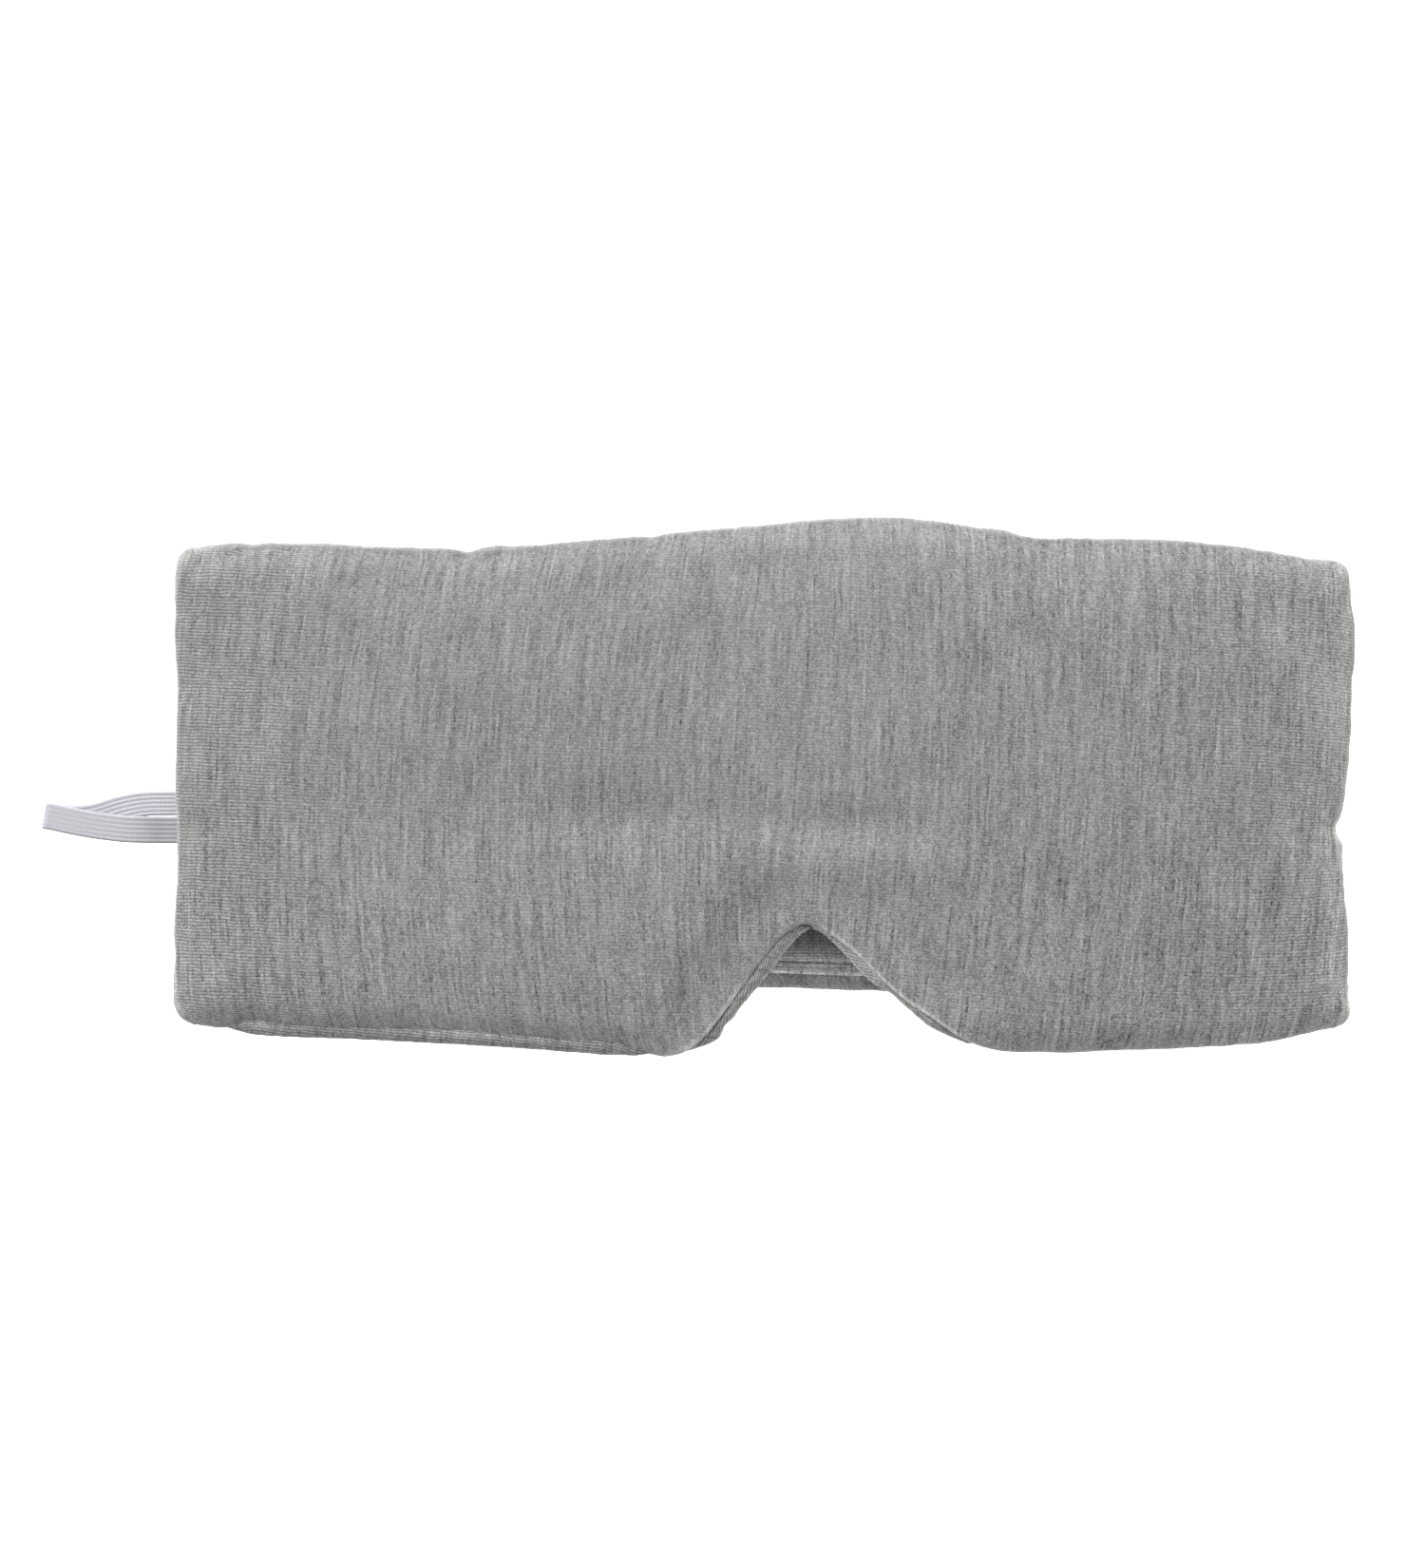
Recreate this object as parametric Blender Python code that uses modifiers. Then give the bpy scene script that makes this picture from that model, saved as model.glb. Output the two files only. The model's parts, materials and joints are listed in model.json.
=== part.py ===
"""Sleep eye mask with a wide back band, joined by two short elastic links.

Frame: built in metres from sizes in millimetres, +Z up (towards the forehead), -Y is the
outer front face.  Left (-X) and right (+X) are as seen from the front, so +X is the wearer's
left hand side.  The origin is on the outer face of the front pad, on the nose line, just
above the nose notch.

The mask is held folded flat: the back band lies behind the front pad and the two elastic
links are doubled over between them.  The left link stands out past the left end as a loop,
and the right link is tucked in.
"""
import math
from collections import Counter

import bmesh
import bpy
from mathutils import Matrix, Vector

MM = 0.001

# ---------------------------------------------------------------- sizes, mm
FABRIC = 0.8            # jersey thickness
GAP = 0.3               # clearance between neighbouring layers
BLACKOUT = 0.4          # opaque interlining

FRONT_THICK = 10.0      # padded front, face to lining
FRONT_ROUND = 3.5       # radius rolled over the pad's edge
FRONT_WADDING_ROUND = 2.4
FRONT_STITCH_INSET = 2.4    # topstitch, inwards from the rolled edge

BAND_FRONT_Y = 14.4     # inner face of the back band
BAND_THICK = 7.2        # back band, lining to cover
BAND_ROUND = 3.0
BAND_WADDING_ROUND = 2.0
BAND_STITCH_INSET = 2.6
SLIDE_X = -8.0          # origin of the band's slide, midway between the band's ends
SLIDE_Z = 13.0

FACING_Y = (3.2, 9.2)   # front and rear of the notch facings
FACING_ROUND = 0.25
FACING_END = 0.75       # width at a facing's ends, as a share of its full width

THREAD = 0.2            # sewing thread, drawn radius
STITCH_GAP = 0.1        # between a topstitch and the lining it runs along
STITCH_GUIDE = 0.01     # half thickness of the sheet whose rim guides a topstitch

ELASTIC_W = 5.0         # braided elastic
ELASTIC_T = 0.9
ELASTIC_CHAMFER = 0.25  # chamfer at the elastic's corners, as a share of its half thickness
STRAND_STEPS = 4        # sections between two stations of a strand
LINK = 43.8             # from a link's seam to its crease, along X
LEFT_X = -107.0         # seam where the left link meets the front lining and the band
RIGHT_X = 92.0          # the same for the right link
RIGHT_DROP = 3.2        # the right link sits a little lower than the left one
FRONT_Z = 13.2          # height of the strands sewn to the front pad
BACK_Z = 18.4           # height of the strands sewn to the back band
CREASE_Z = 16.0         # height of the crease in a link
FRONT_STRAND_Y = 11.1   # mid thickness of a strand where it meets the front lining
BACK_STRAND_Y = 13.3    # the same at the back band
CREASE_GAP_X = 0.36     # each strand stops just short of the crease line
CREASE_GAP_Y = 0.12     # and just clear of the middle plane between the strands
KNUCKLE = 0.55          # room for the elastic to turn beside its seam
TAIL = 6.6              # from the seam to the end of a sewn tail

TACK_START = 1.6        # bartack, from the seam
TACK_END = 5.4
TACK_MARGIN = 0.7       # elastic left above and below the zigzag
TACK_GAP = 0.08         # between thread and elastic
TACK_TURNS = 7

# ---------------------------------------------------------------- outlines, (X, Z) in mm
# Front cover, clockwise from the upper left corner, seen from the front.
COVER = [
    (-124.3, 58.2), (-121.7, 66.4), (-113.0, 69.2), (-100.0, 69.5), (-84.0, 68.8),
    (-66.0, 68.3), (-48.0, 69.6), (-28.0, 71.3), (-8.0, 73.1), (11.0, 74.5),
    (26.0, 73.6), (43.0, 70.9), (60.0, 70.3), (78.0, 69.5), (92.0, 67.4),
    (102.8, 64.6), (106.3, 57.3), (106.2, 41.0), (105.5, 24.2), (103.0, 12.5),
    (104.8, 1.0), (105.5, -13.2), (104.5, -22.8), (97.0, -27.0), (80.0, -29.2),
    (60.0, -30.0), (43.0, -30.4), (30.5, -28.2), (23.4, -23.6), (16.0, -18.5),
    (9.1, -11.6), (4.1, -7.5), (0.6, -5.6), (-3.6, -5.8), (-7.5, -9.7),
    (-10.9, -14.1), (-14.0, -18.5), (-17.1, -23.2), (-21.2, -28.0), (-28.0, -31.0),
    (-38.0, -30.6), (-54.0, -29.4), (-72.0, -28.3), (-92.0, -27.3), (-112.0, -26.2),
    (-121.6, -23.8), (-124.4, -14.2), (-123.9, 5.2), (-124.3, 23.2), (-123.9, 41.2),
]
# Back band, clockwise from its left end, seen from the front.
BAND = [
    (-117.0, 14.0), (-115.4, 26.0), (-106.0, 34.0), (-84.0, 40.5), (-52.0, 44.6),
    (-10.0, 45.9), (34.0, 44.4), (66.0, 40.2), (90.0, 33.0), (99.4, 24.5),
    (101.0, 11.3), (99.4, -2.0), (90.0, -10.7), (66.0, -17.1), (34.0, -19.5),
    (-10.0, -18.6), (-52.0, -17.1), (-84.0, -14.1), (-106.0, -7.0), (-115.4, 1.8),
]
# Notch facings: centre lines, from the top down, of the strips that show past the cover
# along the two sides of the nose notch.  Each has its half width.
FACINGS = {
    "left": (0.95, [
        (-4.0, -8.1), (-6.3, -10.7), (-9.7, -15.1), (-12.7, -19.6), (-15.5, -24.3),
        (-17.7, -27.2), (-19.4, -28.9),
    ]),
    "right": (0.55, [
        (3.2, -8.4), (8.2, -12.5), (15.1, -19.4), (22.6, -24.6), (26.2, -27.2),
    ]),
}
# Strands up to the crease: distance from the seam towards -X, then shifts in Y and Z from
# the sewn end.
FRONT_STRAND = [
    (0, 0.0, 0.0), (10, 0.0, 0.0), (19, 0.1, 0.0), (28, 0.3, 0.2), (36, 0.4, 1.3),
]
BACK_STRAND = [
    (0, 0.0, 0.0), (12, 0.0, 0.0), (22, -0.1, 0.0), (29, -0.2, -1.5), (36, -0.4, -3.0),
]

# ---------------------------------------------------------------- scene and materials
for old in list(bpy.data.objects):
    bpy.data.objects.remove(old, do_unlink=True)
PARTS = bpy.data.collections.new("sleep_eye_mask")
bpy.context.scene.collection.children.link(PARTS)


def material(name, colour, roughness):
    mat = bpy.data.materials.new(name)
    mat.use_nodes = True
    bsdf = mat.node_tree.nodes["Principled BSDF"]
    bsdf.inputs["Base Color"].default_value = (*colour, 1.0)
    bsdf.inputs["Roughness"].default_value = roughness
    return mat


GREY_MELANGE = (0.30, 0.297, 0.288)
JERSEY = material("grey_melange_jersey", colour=GREY_MELANGE, roughness=0.95)
LINING = material("grey_melange_lining", colour=GREY_MELANGE, roughness=0.95)
WADDING = material("white_wadding", colour=(0.82, 0.82, 0.80), roughness=1.0)
BLACK = material("blackout_interlining", colour=(0.02, 0.02, 0.022), roughness=0.8)
ELASTIC = material("braided_elastic", colour=(0.53, 0.52, 0.57), roughness=0.7)
THREAD_GREY = material("sewing_thread", colour=(0.28, 0.275, 0.27), roughness=0.8)


# ---------------------------------------------------------------- flat layers
def outline_mesh(name, points, y_front, y_rear, rounding, inset, steps, bevel_steps):
    """A mesh of a closed smooth XZ outline, filled and extruded between two Y planes."""
    data = bpy.data.curves.new(name, "CURVE")
    data.dimensions = "2D"
    data.fill_mode = "BOTH"
    data.resolution_u = steps
    spline = data.splines.new("BEZIER")
    spline.bezier_points.add(len(points) - 1)
    for knot, (x, z) in zip(spline.bezier_points, points):
        knot.co = (x * MM, z * MM, 0.0)
        knot.handle_left_type = knot.handle_right_type = "AUTO"
    spline.use_cyclic_u = True
    data.extrude = ((y_rear - y_front) / 2 - rounding) * MM
    data.bevel_depth = rounding * MM
    data.bevel_resolution = bevel_steps
    # The bevel grows outwards, so the outline is first drawn in by its radius.
    data.offset = -(inset + rounding) * MM
    obj = bpy.data.objects.new(name, data)
    obj.rotation_euler = (math.radians(90), 0.0, 0.0)
    obj.location = (0.0, (y_front + y_rear) / 2 * MM, 0.0)
    PARTS.objects.link(obj)

    bpy.context.view_layer.update()
    graph = bpy.context.evaluated_depsgraph_get()
    mesh = bpy.data.meshes.new_from_object(obj.evaluated_get(graph))
    mesh.transform(obj.matrix_world.copy())
    bpy.data.objects.remove(obj, do_unlink=True)
    return mesh


def shade(obj):
    obj.data.shade_smooth()
    obj.data.set_sharp_from_angle(angle=math.radians(40))


def faces_at(bm, y, tolerance):
    """The faces that lie in the plane at y, in metres."""
    return [f for f in bm.faces if all(abs(v.co.y - y) < tolerance for v in f.verts)]


def layer(name, mat, points, y_front, y_rear, rounding=0.0, inset=0.0, steps=2,
          bevel_steps=0, open_y=None):
    """A welded solid layer, or a shell without its face at open_y where that is given."""
    mesh = outline_mesh(name, points, y_front, y_rear, rounding, inset, steps, bevel_steps)
    bm = bmesh.new()
    bm.from_mesh(mesh)
    bmesh.ops.remove_doubles(bm, verts=bm.verts, dist=2e-6)
    bmesh.ops.dissolve_degenerate(bm, edges=bm.edges, dist=1e-6)
    bmesh.ops.recalc_face_normals(bm, faces=bm.faces)
    if open_y is not None:
        lid = faces_at(bm, open_y * MM, tolerance=1e-6)
        bmesh.ops.delete(bm, geom=lid, context="FACES")
    bm.to_mesh(mesh)
    bm.free()
    mesh.materials.clear()
    mesh.materials.append(mat)
    mesh.name = name
    obj = bpy.data.objects.new(name, mesh)
    PARTS.objects.link(obj)
    shade(obj)
    return obj


def cover(name, points, y_front, y_rear, rounding, open_y, steps):
    """A jersey cover: the pad's skin, open on one face, with the fabric's thickness."""
    obj = layer(name, JERSEY, points, y_front, y_rear, rounding, steps=steps,
                bevel_steps=2, open_y=open_y)
    solid = obj.modifiers.new("fabric", "SOLIDIFY")
    solid.thickness = FABRIC * MM
    solid.offset = -1.0
    solid.use_even_offset = True
    return obj


def facing(name, path, half_width):
    """A narrow strip of jersey along an edge, slimmer at its ends."""
    upper, lower = [], []
    last = len(path) - 1
    for k, (x, z) in enumerate(path):
        before, after = path[max(k - 1, 0)], path[min(k + 1, last)]
        dx, dz = after[0] - before[0], after[1] - before[1]
        reach = half_width if 0 < k < last else half_width * FACING_END
        scale = reach / math.hypot(dx, dz)
        upper.append((x - dz * scale, z + dx * scale))
        lower.append((x + dz * scale, z - dx * scale))
    layer(name, LINING, upper + lower[::-1], *FACING_Y, FACING_ROUND, steps=4, bevel_steps=1)


# ---------------------------------------------------------------- thread
def thread(name, points, closed, bevel_steps):
    """A round thread through points in metres."""
    data = bpy.data.curves.new(name, "CURVE")
    data.dimensions = "3D"
    data.fill_mode = "FULL"
    data.use_fill_caps = not closed
    data.bevel_depth = THREAD * MM
    data.bevel_resolution = bevel_steps
    spline = data.splines.new("POLY")
    spline.points.add(len(points) - 1)
    for knot, point in zip(spline.points, points):
        knot.co = (*point, 1.0)
    spline.use_cyclic_u = closed
    data.materials.append(THREAD_GREY)
    obj = bpy.data.objects.new(name, data)
    PARTS.objects.link(obj)
    return obj


def rim(mesh):
    """The points, in order, around the front face of a flat sheet."""
    bm = bmesh.new()
    bm.from_mesh(mesh)
    front = min(v.co.y for v in bm.verts)
    uses = Counter()
    for face in faces_at(bm, front, tolerance=1e-7):
        for loop in face.loops:
            ends = (loop.vert, loop.link_loop_next.vert)
            uses[frozenset(tuple(round(c, 7) for c in v.co) for v in ends)] += 1
    bm.free()
    # An edge used by one face only is on the rim.
    neighbours = {}
    for edge, count in uses.items():
        if count == 1 and len(edge) == 2:
            start, end = edge
            neighbours.setdefault(start, []).append(end)
            neighbours.setdefault(end, []).append(start)
    first = min(neighbours)
    ring, last, here = [], None, first
    while not ring or here != first:
        ring.append(here)
        ahead = [p for p in neighbours[here] if p != last]
        last, here = here, ahead[0]
    return ring


def topstitch(name, points, y, inset, steps=2):
    """A closed line of stitching that follows an outline at a fixed inset."""
    sheet = outline_mesh(name + "_guide", points, y - STITCH_GUIDE, y + STITCH_GUIDE,
                         rounding=0.0, inset=inset, steps=steps, bevel_steps=0)
    path = [(x, y * MM, z) for x, _, z in rim(sheet)]
    bpy.data.meshes.remove(sheet)
    return thread(name, path, closed=True, bevel_steps=0)


def bartack(name, seam_x, y, z):
    """A zigzag of thread that holds a sewn end of elastic."""
    reach = ELASTIC_W / 2 - TACK_MARGIN
    pitch = (TACK_END - TACK_START) / TACK_TURNS
    path = []
    for k in range(TACK_TURNS + 1):
        side = 1 if k % 2 else -1
        path.append(((seam_x + TACK_START + pitch * k) * MM, y * MM, (z + side * reach) * MM))
    return thread(name, path, closed=False, bevel_steps=1)


# ---------------------------------------------------------------- elastic
def smooth_path(stations):
    """Catmull-Rom points through a list of stations in mm."""
    knots = [Vector(p) for p in stations]
    knots = [2 * knots[0] - knots[1]] + knots + [2 * knots[-1] - knots[-2]]
    path = []
    for a, b, c, d in zip(knots, knots[1:], knots[2:], knots[3:]):
        for step in range(STRAND_STEPS):
            t = step / STRAND_STEPS
            path.append(0.5 * (2 * b + (c - a) * t + (2 * a - 5 * b + 4 * c - d) * t ** 2
                               + (3 * b - a - 3 * c + d) * t ** 3))
    path.append(knots[-2])
    return path


def ribbon(name, stations, pivot=(0.0, 0.0, 0.0)):
    """A flat elastic with chamfered corners along a path that runs mostly in X.

    The object's origin is at pivot.
    """
    half_w, half_t = ELASTIC_W / 2, ELASTIC_T / 2
    chamfer = ELASTIC_CHAMFER * half_t
    flat_w, flat_t = half_w - chamfer, half_t - chamfer
    section = [
        (-half_w, -flat_t), (-flat_w, -half_t), (flat_w, -half_t), (half_w, -flat_t),
        (half_w, flat_t), (flat_w, half_t), (-flat_w, half_t), (-half_w, flat_t),
    ]
    path = smooth_path(stations)
    bm = bmesh.new()
    rows = []
    for k, point in enumerate(path):
        ahead = path[min(k + 1, len(path) - 1)] - path[max(k - 1, 0)]
        ahead.normalize()
        across = Vector((0, 0, 1)) - ahead * ahead.z
        across.normalize()
        out = ahead.cross(across)
        rows.append([bm.verts.new((point + across * w + out * t) * MM) for w, t in section])
    count = len(section)
    for row, after in zip(rows, rows[1:]):
        for i in range(count):
            j = (i + 1) % count
            bm.faces.new((row[i], row[j], after[j], after[i]))
    bm.faces.new(rows[0])
    bm.faces.new(rows[-1][::-1])
    bmesh.ops.recalc_face_normals(bm, faces=bm.faces)
    mesh = bpy.data.meshes.new(name)
    bm.to_mesh(mesh)
    bm.free()
    mesh.materials.append(ELASTIC)
    origin = Vector(pivot) * MM
    mesh.transform(Matrix.Translation(-origin))
    obj = bpy.data.objects.new(name, mesh)
    obj.location = origin
    PARTS.objects.link(obj)
    shade(obj)
    return obj


def sewn_strand(prefix, seam, shifts, crease, inward, pivot):
    """A strand from its seam to the crease, with its sewn tail; returns tail and bartack.

    inward is the Y direction from the strand to the other strand of its link.
    """
    x, y, z = seam
    crease_x, crease_y, crease_z = crease
    stations = [(x - along, y + dy, z + dz) for along, dy, dz in shifts]
    stations.append((crease_x + CREASE_GAP_X,
                     crease_y - inward * (ELASTIC_T / 2 + CREASE_GAP_Y), crease_z))
    side, face = prefix
    ribbon(f"{side}_elastic_{face}_strand", stations, pivot)
    tail = ribbon(f"{side}_elastic_{face}_tail", [
        (x + along, y, z) for along in (KNUCKLE, KNUCKLE + TAIL / 2, TAIL)])
    lift = ELASTIC_T / 2 + THREAD + TACK_GAP
    return [tail, bartack(f"{side}_{face}_bartack", x, y + inward * lift, z)]


def link(side, x, drop):
    """One doubled-over link; returns the pieces sewn to the back band."""
    crease = (x - LINK, (FRONT_STRAND_Y + BACK_STRAND_Y) / 2, CREASE_Z - drop)
    front_seam = (x, FRONT_STRAND_Y, FRONT_Z - drop)
    back_seam = (x, BACK_STRAND_Y, BACK_Z - drop)
    # The front strand turns about its seam, the back strand about the crease.
    sewn_strand((side, "front"), front_seam, FRONT_STRAND, crease, inward=1, pivot=front_seam)
    return sewn_strand((side, "back"), back_seam, BACK_STRAND, crease, inward=-1, pivot=crease)


# ---------------------------------------------------------------- assemblies
def front_pad():
    blackout_y = FABRIC + GAP
    wadding_y = blackout_y + BLACKOUT + GAP
    lining_y = FRONT_THICK - FABRIC
    cover("front_cover", COVER, 0.0, FRONT_THICK, FRONT_ROUND, open_y=FRONT_THICK, steps=2)
    layer("blackout_layer", BLACK, COVER, blackout_y, blackout_y + BLACKOUT,
          inset=FRONT_ROUND + GAP)
    layer("front_padding", WADDING, COVER, wadding_y, lining_y - GAP, FRONT_WADDING_ROUND,
          inset=FABRIC + 2 * GAP, bevel_steps=1)
    layer("eye_side_lining", LINING, COVER, lining_y, FRONT_THICK, inset=FRONT_ROUND + GAP)
    topstitch("eye_side_topstitch", COVER, FRONT_THICK + STITCH_GAP + THREAD,
              FRONT_ROUND + FRONT_STITCH_INSET)
    for side, (half_width, path) in FACINGS.items():
        facing(side + "_notch_facing", path, half_width)


def back_band():
    rear_y = BAND_FRONT_Y + BAND_THICK
    lining_rear = BAND_FRONT_Y + FABRIC
    return [
        cover("back_band_cover", BAND, BAND_FRONT_Y, rear_y, BAND_ROUND,
              open_y=BAND_FRONT_Y, steps=3),
        layer("back_band_padding", WADDING, BAND, lining_rear + GAP, rear_y - FABRIC - GAP,
              BAND_WADDING_ROUND, inset=FABRIC + GAP, steps=3, bevel_steps=1),
        layer("back_band_lining", LINING, BAND, BAND_FRONT_Y, lining_rear,
              inset=BAND_ROUND + GAP, steps=3),
        topstitch("back_band_topstitch", BAND, BAND_FRONT_Y - STITCH_GAP - THREAD,
                  BAND_ROUND + BAND_STITCH_INSET),
    ]


def band_slide(carried):
    """The empty that moves the band and what is sewn to it straight back from the front."""
    empty = bpy.data.objects.new("back_band_slide", None)
    empty.location = (SLIDE_X * MM, BAND_FRONT_Y * MM, SLIDE_Z * MM)
    PARTS.objects.link(empty)
    for obj in carried:
        obj.parent = empty
        obj.location = obj.location - empty.location


front_pad()
band_slide(back_band() + link("left", LEFT_X, drop=0.0) + link("right", RIGHT_X, RIGHT_DROP))
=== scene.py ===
"""A padded jersey sleep mask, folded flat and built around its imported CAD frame.

X runs left to right across the mask and Z runs up it.  The mask's front faces -Y, towards the
camera; its eye-side lining, the elastic links and the back band lie behind it at growing Y.
Lengths are in millimetres unless a name or comment says otherwise.
"""

import json
import math

import bmesh
import bpy
import numpy as np
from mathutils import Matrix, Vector, kdtree, noise
from mathutils.bvhtree import BVHTree
from mathutils.geometry import delaunay_2d_cdt


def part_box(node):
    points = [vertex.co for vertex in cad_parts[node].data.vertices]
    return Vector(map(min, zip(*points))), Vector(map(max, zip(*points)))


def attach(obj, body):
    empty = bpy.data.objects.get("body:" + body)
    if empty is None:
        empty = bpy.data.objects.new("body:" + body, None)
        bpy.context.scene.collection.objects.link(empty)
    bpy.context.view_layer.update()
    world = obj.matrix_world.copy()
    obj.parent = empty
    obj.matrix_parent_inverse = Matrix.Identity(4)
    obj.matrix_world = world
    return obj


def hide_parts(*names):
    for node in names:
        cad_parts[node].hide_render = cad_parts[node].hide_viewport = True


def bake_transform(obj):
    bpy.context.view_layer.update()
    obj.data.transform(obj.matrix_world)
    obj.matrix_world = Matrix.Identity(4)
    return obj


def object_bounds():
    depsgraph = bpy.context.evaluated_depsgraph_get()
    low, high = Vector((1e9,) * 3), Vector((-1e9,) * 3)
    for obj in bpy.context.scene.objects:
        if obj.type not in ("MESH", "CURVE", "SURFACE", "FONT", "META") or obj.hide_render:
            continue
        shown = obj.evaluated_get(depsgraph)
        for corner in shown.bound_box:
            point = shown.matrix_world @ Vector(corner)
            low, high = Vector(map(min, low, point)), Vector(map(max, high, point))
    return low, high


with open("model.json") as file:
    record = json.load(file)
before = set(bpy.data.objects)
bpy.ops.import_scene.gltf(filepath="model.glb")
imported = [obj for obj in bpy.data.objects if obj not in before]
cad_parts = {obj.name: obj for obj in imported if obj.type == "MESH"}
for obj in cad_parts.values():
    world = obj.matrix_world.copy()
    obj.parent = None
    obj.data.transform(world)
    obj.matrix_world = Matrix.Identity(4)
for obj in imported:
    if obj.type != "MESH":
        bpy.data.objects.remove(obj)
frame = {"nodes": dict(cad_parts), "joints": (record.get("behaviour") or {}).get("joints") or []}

MM = 0.001
CAD_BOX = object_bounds()
SCENE = bpy.context.scene
FRONT, REAR = -1, 1          # which way along Y a face looks

WALE = 0.634                 # pitch of the jersey's ribs
COURSE = 0.47                # pitch of its rows
OUTLINE_STEP = 0.5
PAD_Y = (0.3, 9.6)           # front and back of the mask's pad
FRONT_MID_Y = 5.0            # depth of its side seam
STITCH_IN = 2.3              # how far the topstitching lies inside a lining's edge
STITCH_PITCH = 2.6
HEM_RINGS = (0.12, 0.3, 0.6, 1.0, 1.4, 1.8, 2.1, 2.3, 2.5, 2.8, 3.2, 3.8)
ELASTIC_WIDTH, ELASTIC_THICK = 5.2, 0.9
CORDS, STEPS_PER_CORD = 6, 5


# ------------------------------------------------------------------ small maths
def smoothstep(start, end, x):
    t = np.clip((x - start) / (end - start), 0, 1)
    return t * t * (3 - 2 * t)


def bell(x, centre, width):
    return np.exp(-0.5 * ((x - centre) / width) ** 2)


def unit(vectors):
    return vectors / np.linalg.norm(vectors, axis=-1, keepdims=True)


def flat(points):
    """The (x, z) of (x, y, z) points."""
    return points[:, [0, 2]]


def wave(xz, size, seed, octaves=2):
    """Smooth noise field, about -1 to 1, with features of the given size."""
    out = np.zeros(len(xz))
    for k, (x, z) in enumerate(xz):
        place = (x / size + seed * 7.3, z / size - seed * 3.1, seed * 1.7)
        out[k] = noise.fractal(place, 0.9, 2.0, octaves)
    return out


def blurred(ring, width, reach):
    """Values round a closed ring, blurred by a bell width entries wide, cut off at reach."""
    weight = bell(np.arange(-reach, reach + 1), 0, width)
    weight /= weight.sum()
    return sum(weight[k + reach] * np.roll(ring, -k, axis=0) for k in range(-reach, reach + 1))


def arc_lengths(points):
    steps = np.linalg.norm(np.diff(points, axis=0), axis=1)
    return np.concatenate([[0], np.cumsum(steps)])


def at_lengths(points, arc, stations):
    """The 2D points at the given distances along a path."""
    return np.stack([np.interp(stations, arc, points[:, k]) for k in (0, 1)], axis=1)


def catmull(points, steps):
    """A Catmull-Rom curve through points of any dimension, with steps samples per span."""
    knots = [np.array(p, float) for p in points]
    knots = [2 * knots[0] - knots[1]] + knots + [2 * knots[-1] - knots[-2]]
    out = []
    for k in range(1, len(knots) - 2):
        before, start, end, after = knots[k - 1: k + 3]
        for step in range(steps):
            t = step / steps
            out.append(0.5 * (2 * start + (end - before) * t
                              + (2 * before - 5 * start + 4 * end - after) * t * t
                              + (3 * start - before - 3 * end + after) * t ** 3))
    out.append(knots[-2])
    return np.array(out)


# ------------------------------------------------------------------ outlines from the frame
def corners(node):
    low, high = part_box(node)
    return np.array(low) / MM, np.array(high) / MM


def outline_of(node, y):
    """The widest closed outline of a CAD node at depth y, as (x, z) points that run clockwise."""
    mesh = frame["nodes"][node].data
    index_of, welded = {}, []
    for point in np.round(np.array([v.co for v in mesh.vertices]) / MM, 3):
        welded.append(index_of.setdefault(tuple(point), len(index_of)))
    points = np.array(list(index_of))
    at_y = np.abs(points[:, 1] - y) < 0.02
    neighbours = {}
    for polygon in mesh.polygons:
        ring = [welded[v] for v in polygon.vertices]
        for here, ahead in zip(ring, ring[1:] + ring[:1]):
            if here != ahead and at_y[here] and at_y[ahead]:
                neighbours.setdefault(here, set()).add(ahead)
                neighbours.setdefault(ahead, set()).add(here)
    best, seen = None, set()
    for start in neighbours:
        if start in seen or len(neighbours[start]) != 2:
            continue
        ring, last, here = [start], None, start
        while True:
            seen.add(here)
            ahead = [p for p in neighbours[here] if p != last]
            if len(neighbours[here]) != 2 or not ahead:
                ring = None
                break
            last, here = here, ahead[0]
            if here == start:
                break
            ring.append(here)
        if ring and (best is None or np.ptp(points[ring, 0]) > np.ptp(points[best, 0])):
            best = ring
    loop = flat(points[best])
    x, z = loop.T
    area = np.sum(x * np.roll(z, -1) - np.roll(x, -1) * z)
    return loop if area < 0 else loop[::-1]


def resample(loop, step, smooth=1.2):
    """Evenly spaced points round a closed outline, smoothed a little."""
    closed = np.vstack([loop, loop[:1]])
    arc = arc_lengths(closed)
    count = int(round(arc[-1] / step))
    points = at_lengths(closed, arc, np.arange(count) * arc[-1] / count)
    width = smooth / step
    return blurred(points, width, int(width * 4))


class Outline:
    """A clockwise closed outline that (x, z) points can be measured against."""

    def __init__(self, points):
        self.points = points
        ahead = unit(np.roll(points, -1, axis=0) - np.roll(points, 1, axis=0))
        self.inward = np.stack([ahead[:, 1], -ahead[:, 0]], axis=1)
        self.tree = kdtree.KDTree(len(points))
        for k, (x, z) in enumerate(points):
            self.tree.insert((x, z, 0.0), k)
        self.tree.balance()
        self.arc = arc_lengths(points)

    def measure(self, xz):
        """Each point's distance inside the outline, place along it and nearest outline point."""
        nearest = np.array([self.tree.find((x, z, 0.0))[1] for x, z in xz])
        gap = xz - self.points[nearest]
        inward = self.inward[nearest]
        side = np.sum(gap * inward, axis=1)
        inside = np.linalg.norm(gap, axis=1) * np.where(side >= 0, 1, -1)
        along = np.stack([-inward[:, 1], inward[:, 0]], axis=1)
        return inside, self.arc[nearest] - np.sum(gap * along, axis=1), nearest

    def inside(self, points):
        """Distance inside the outline of (x, y, z) points."""
        return self.measure(flat(points))[0]

    def inset(self, distance, step):
        """The outline moved inwards, without the parts that come too near another side."""
        points = self.points + self.inward * distance
        reached = self.measure(points)[0]
        return resample(points[reached > distance - 0.08], step, 0.6)


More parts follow.
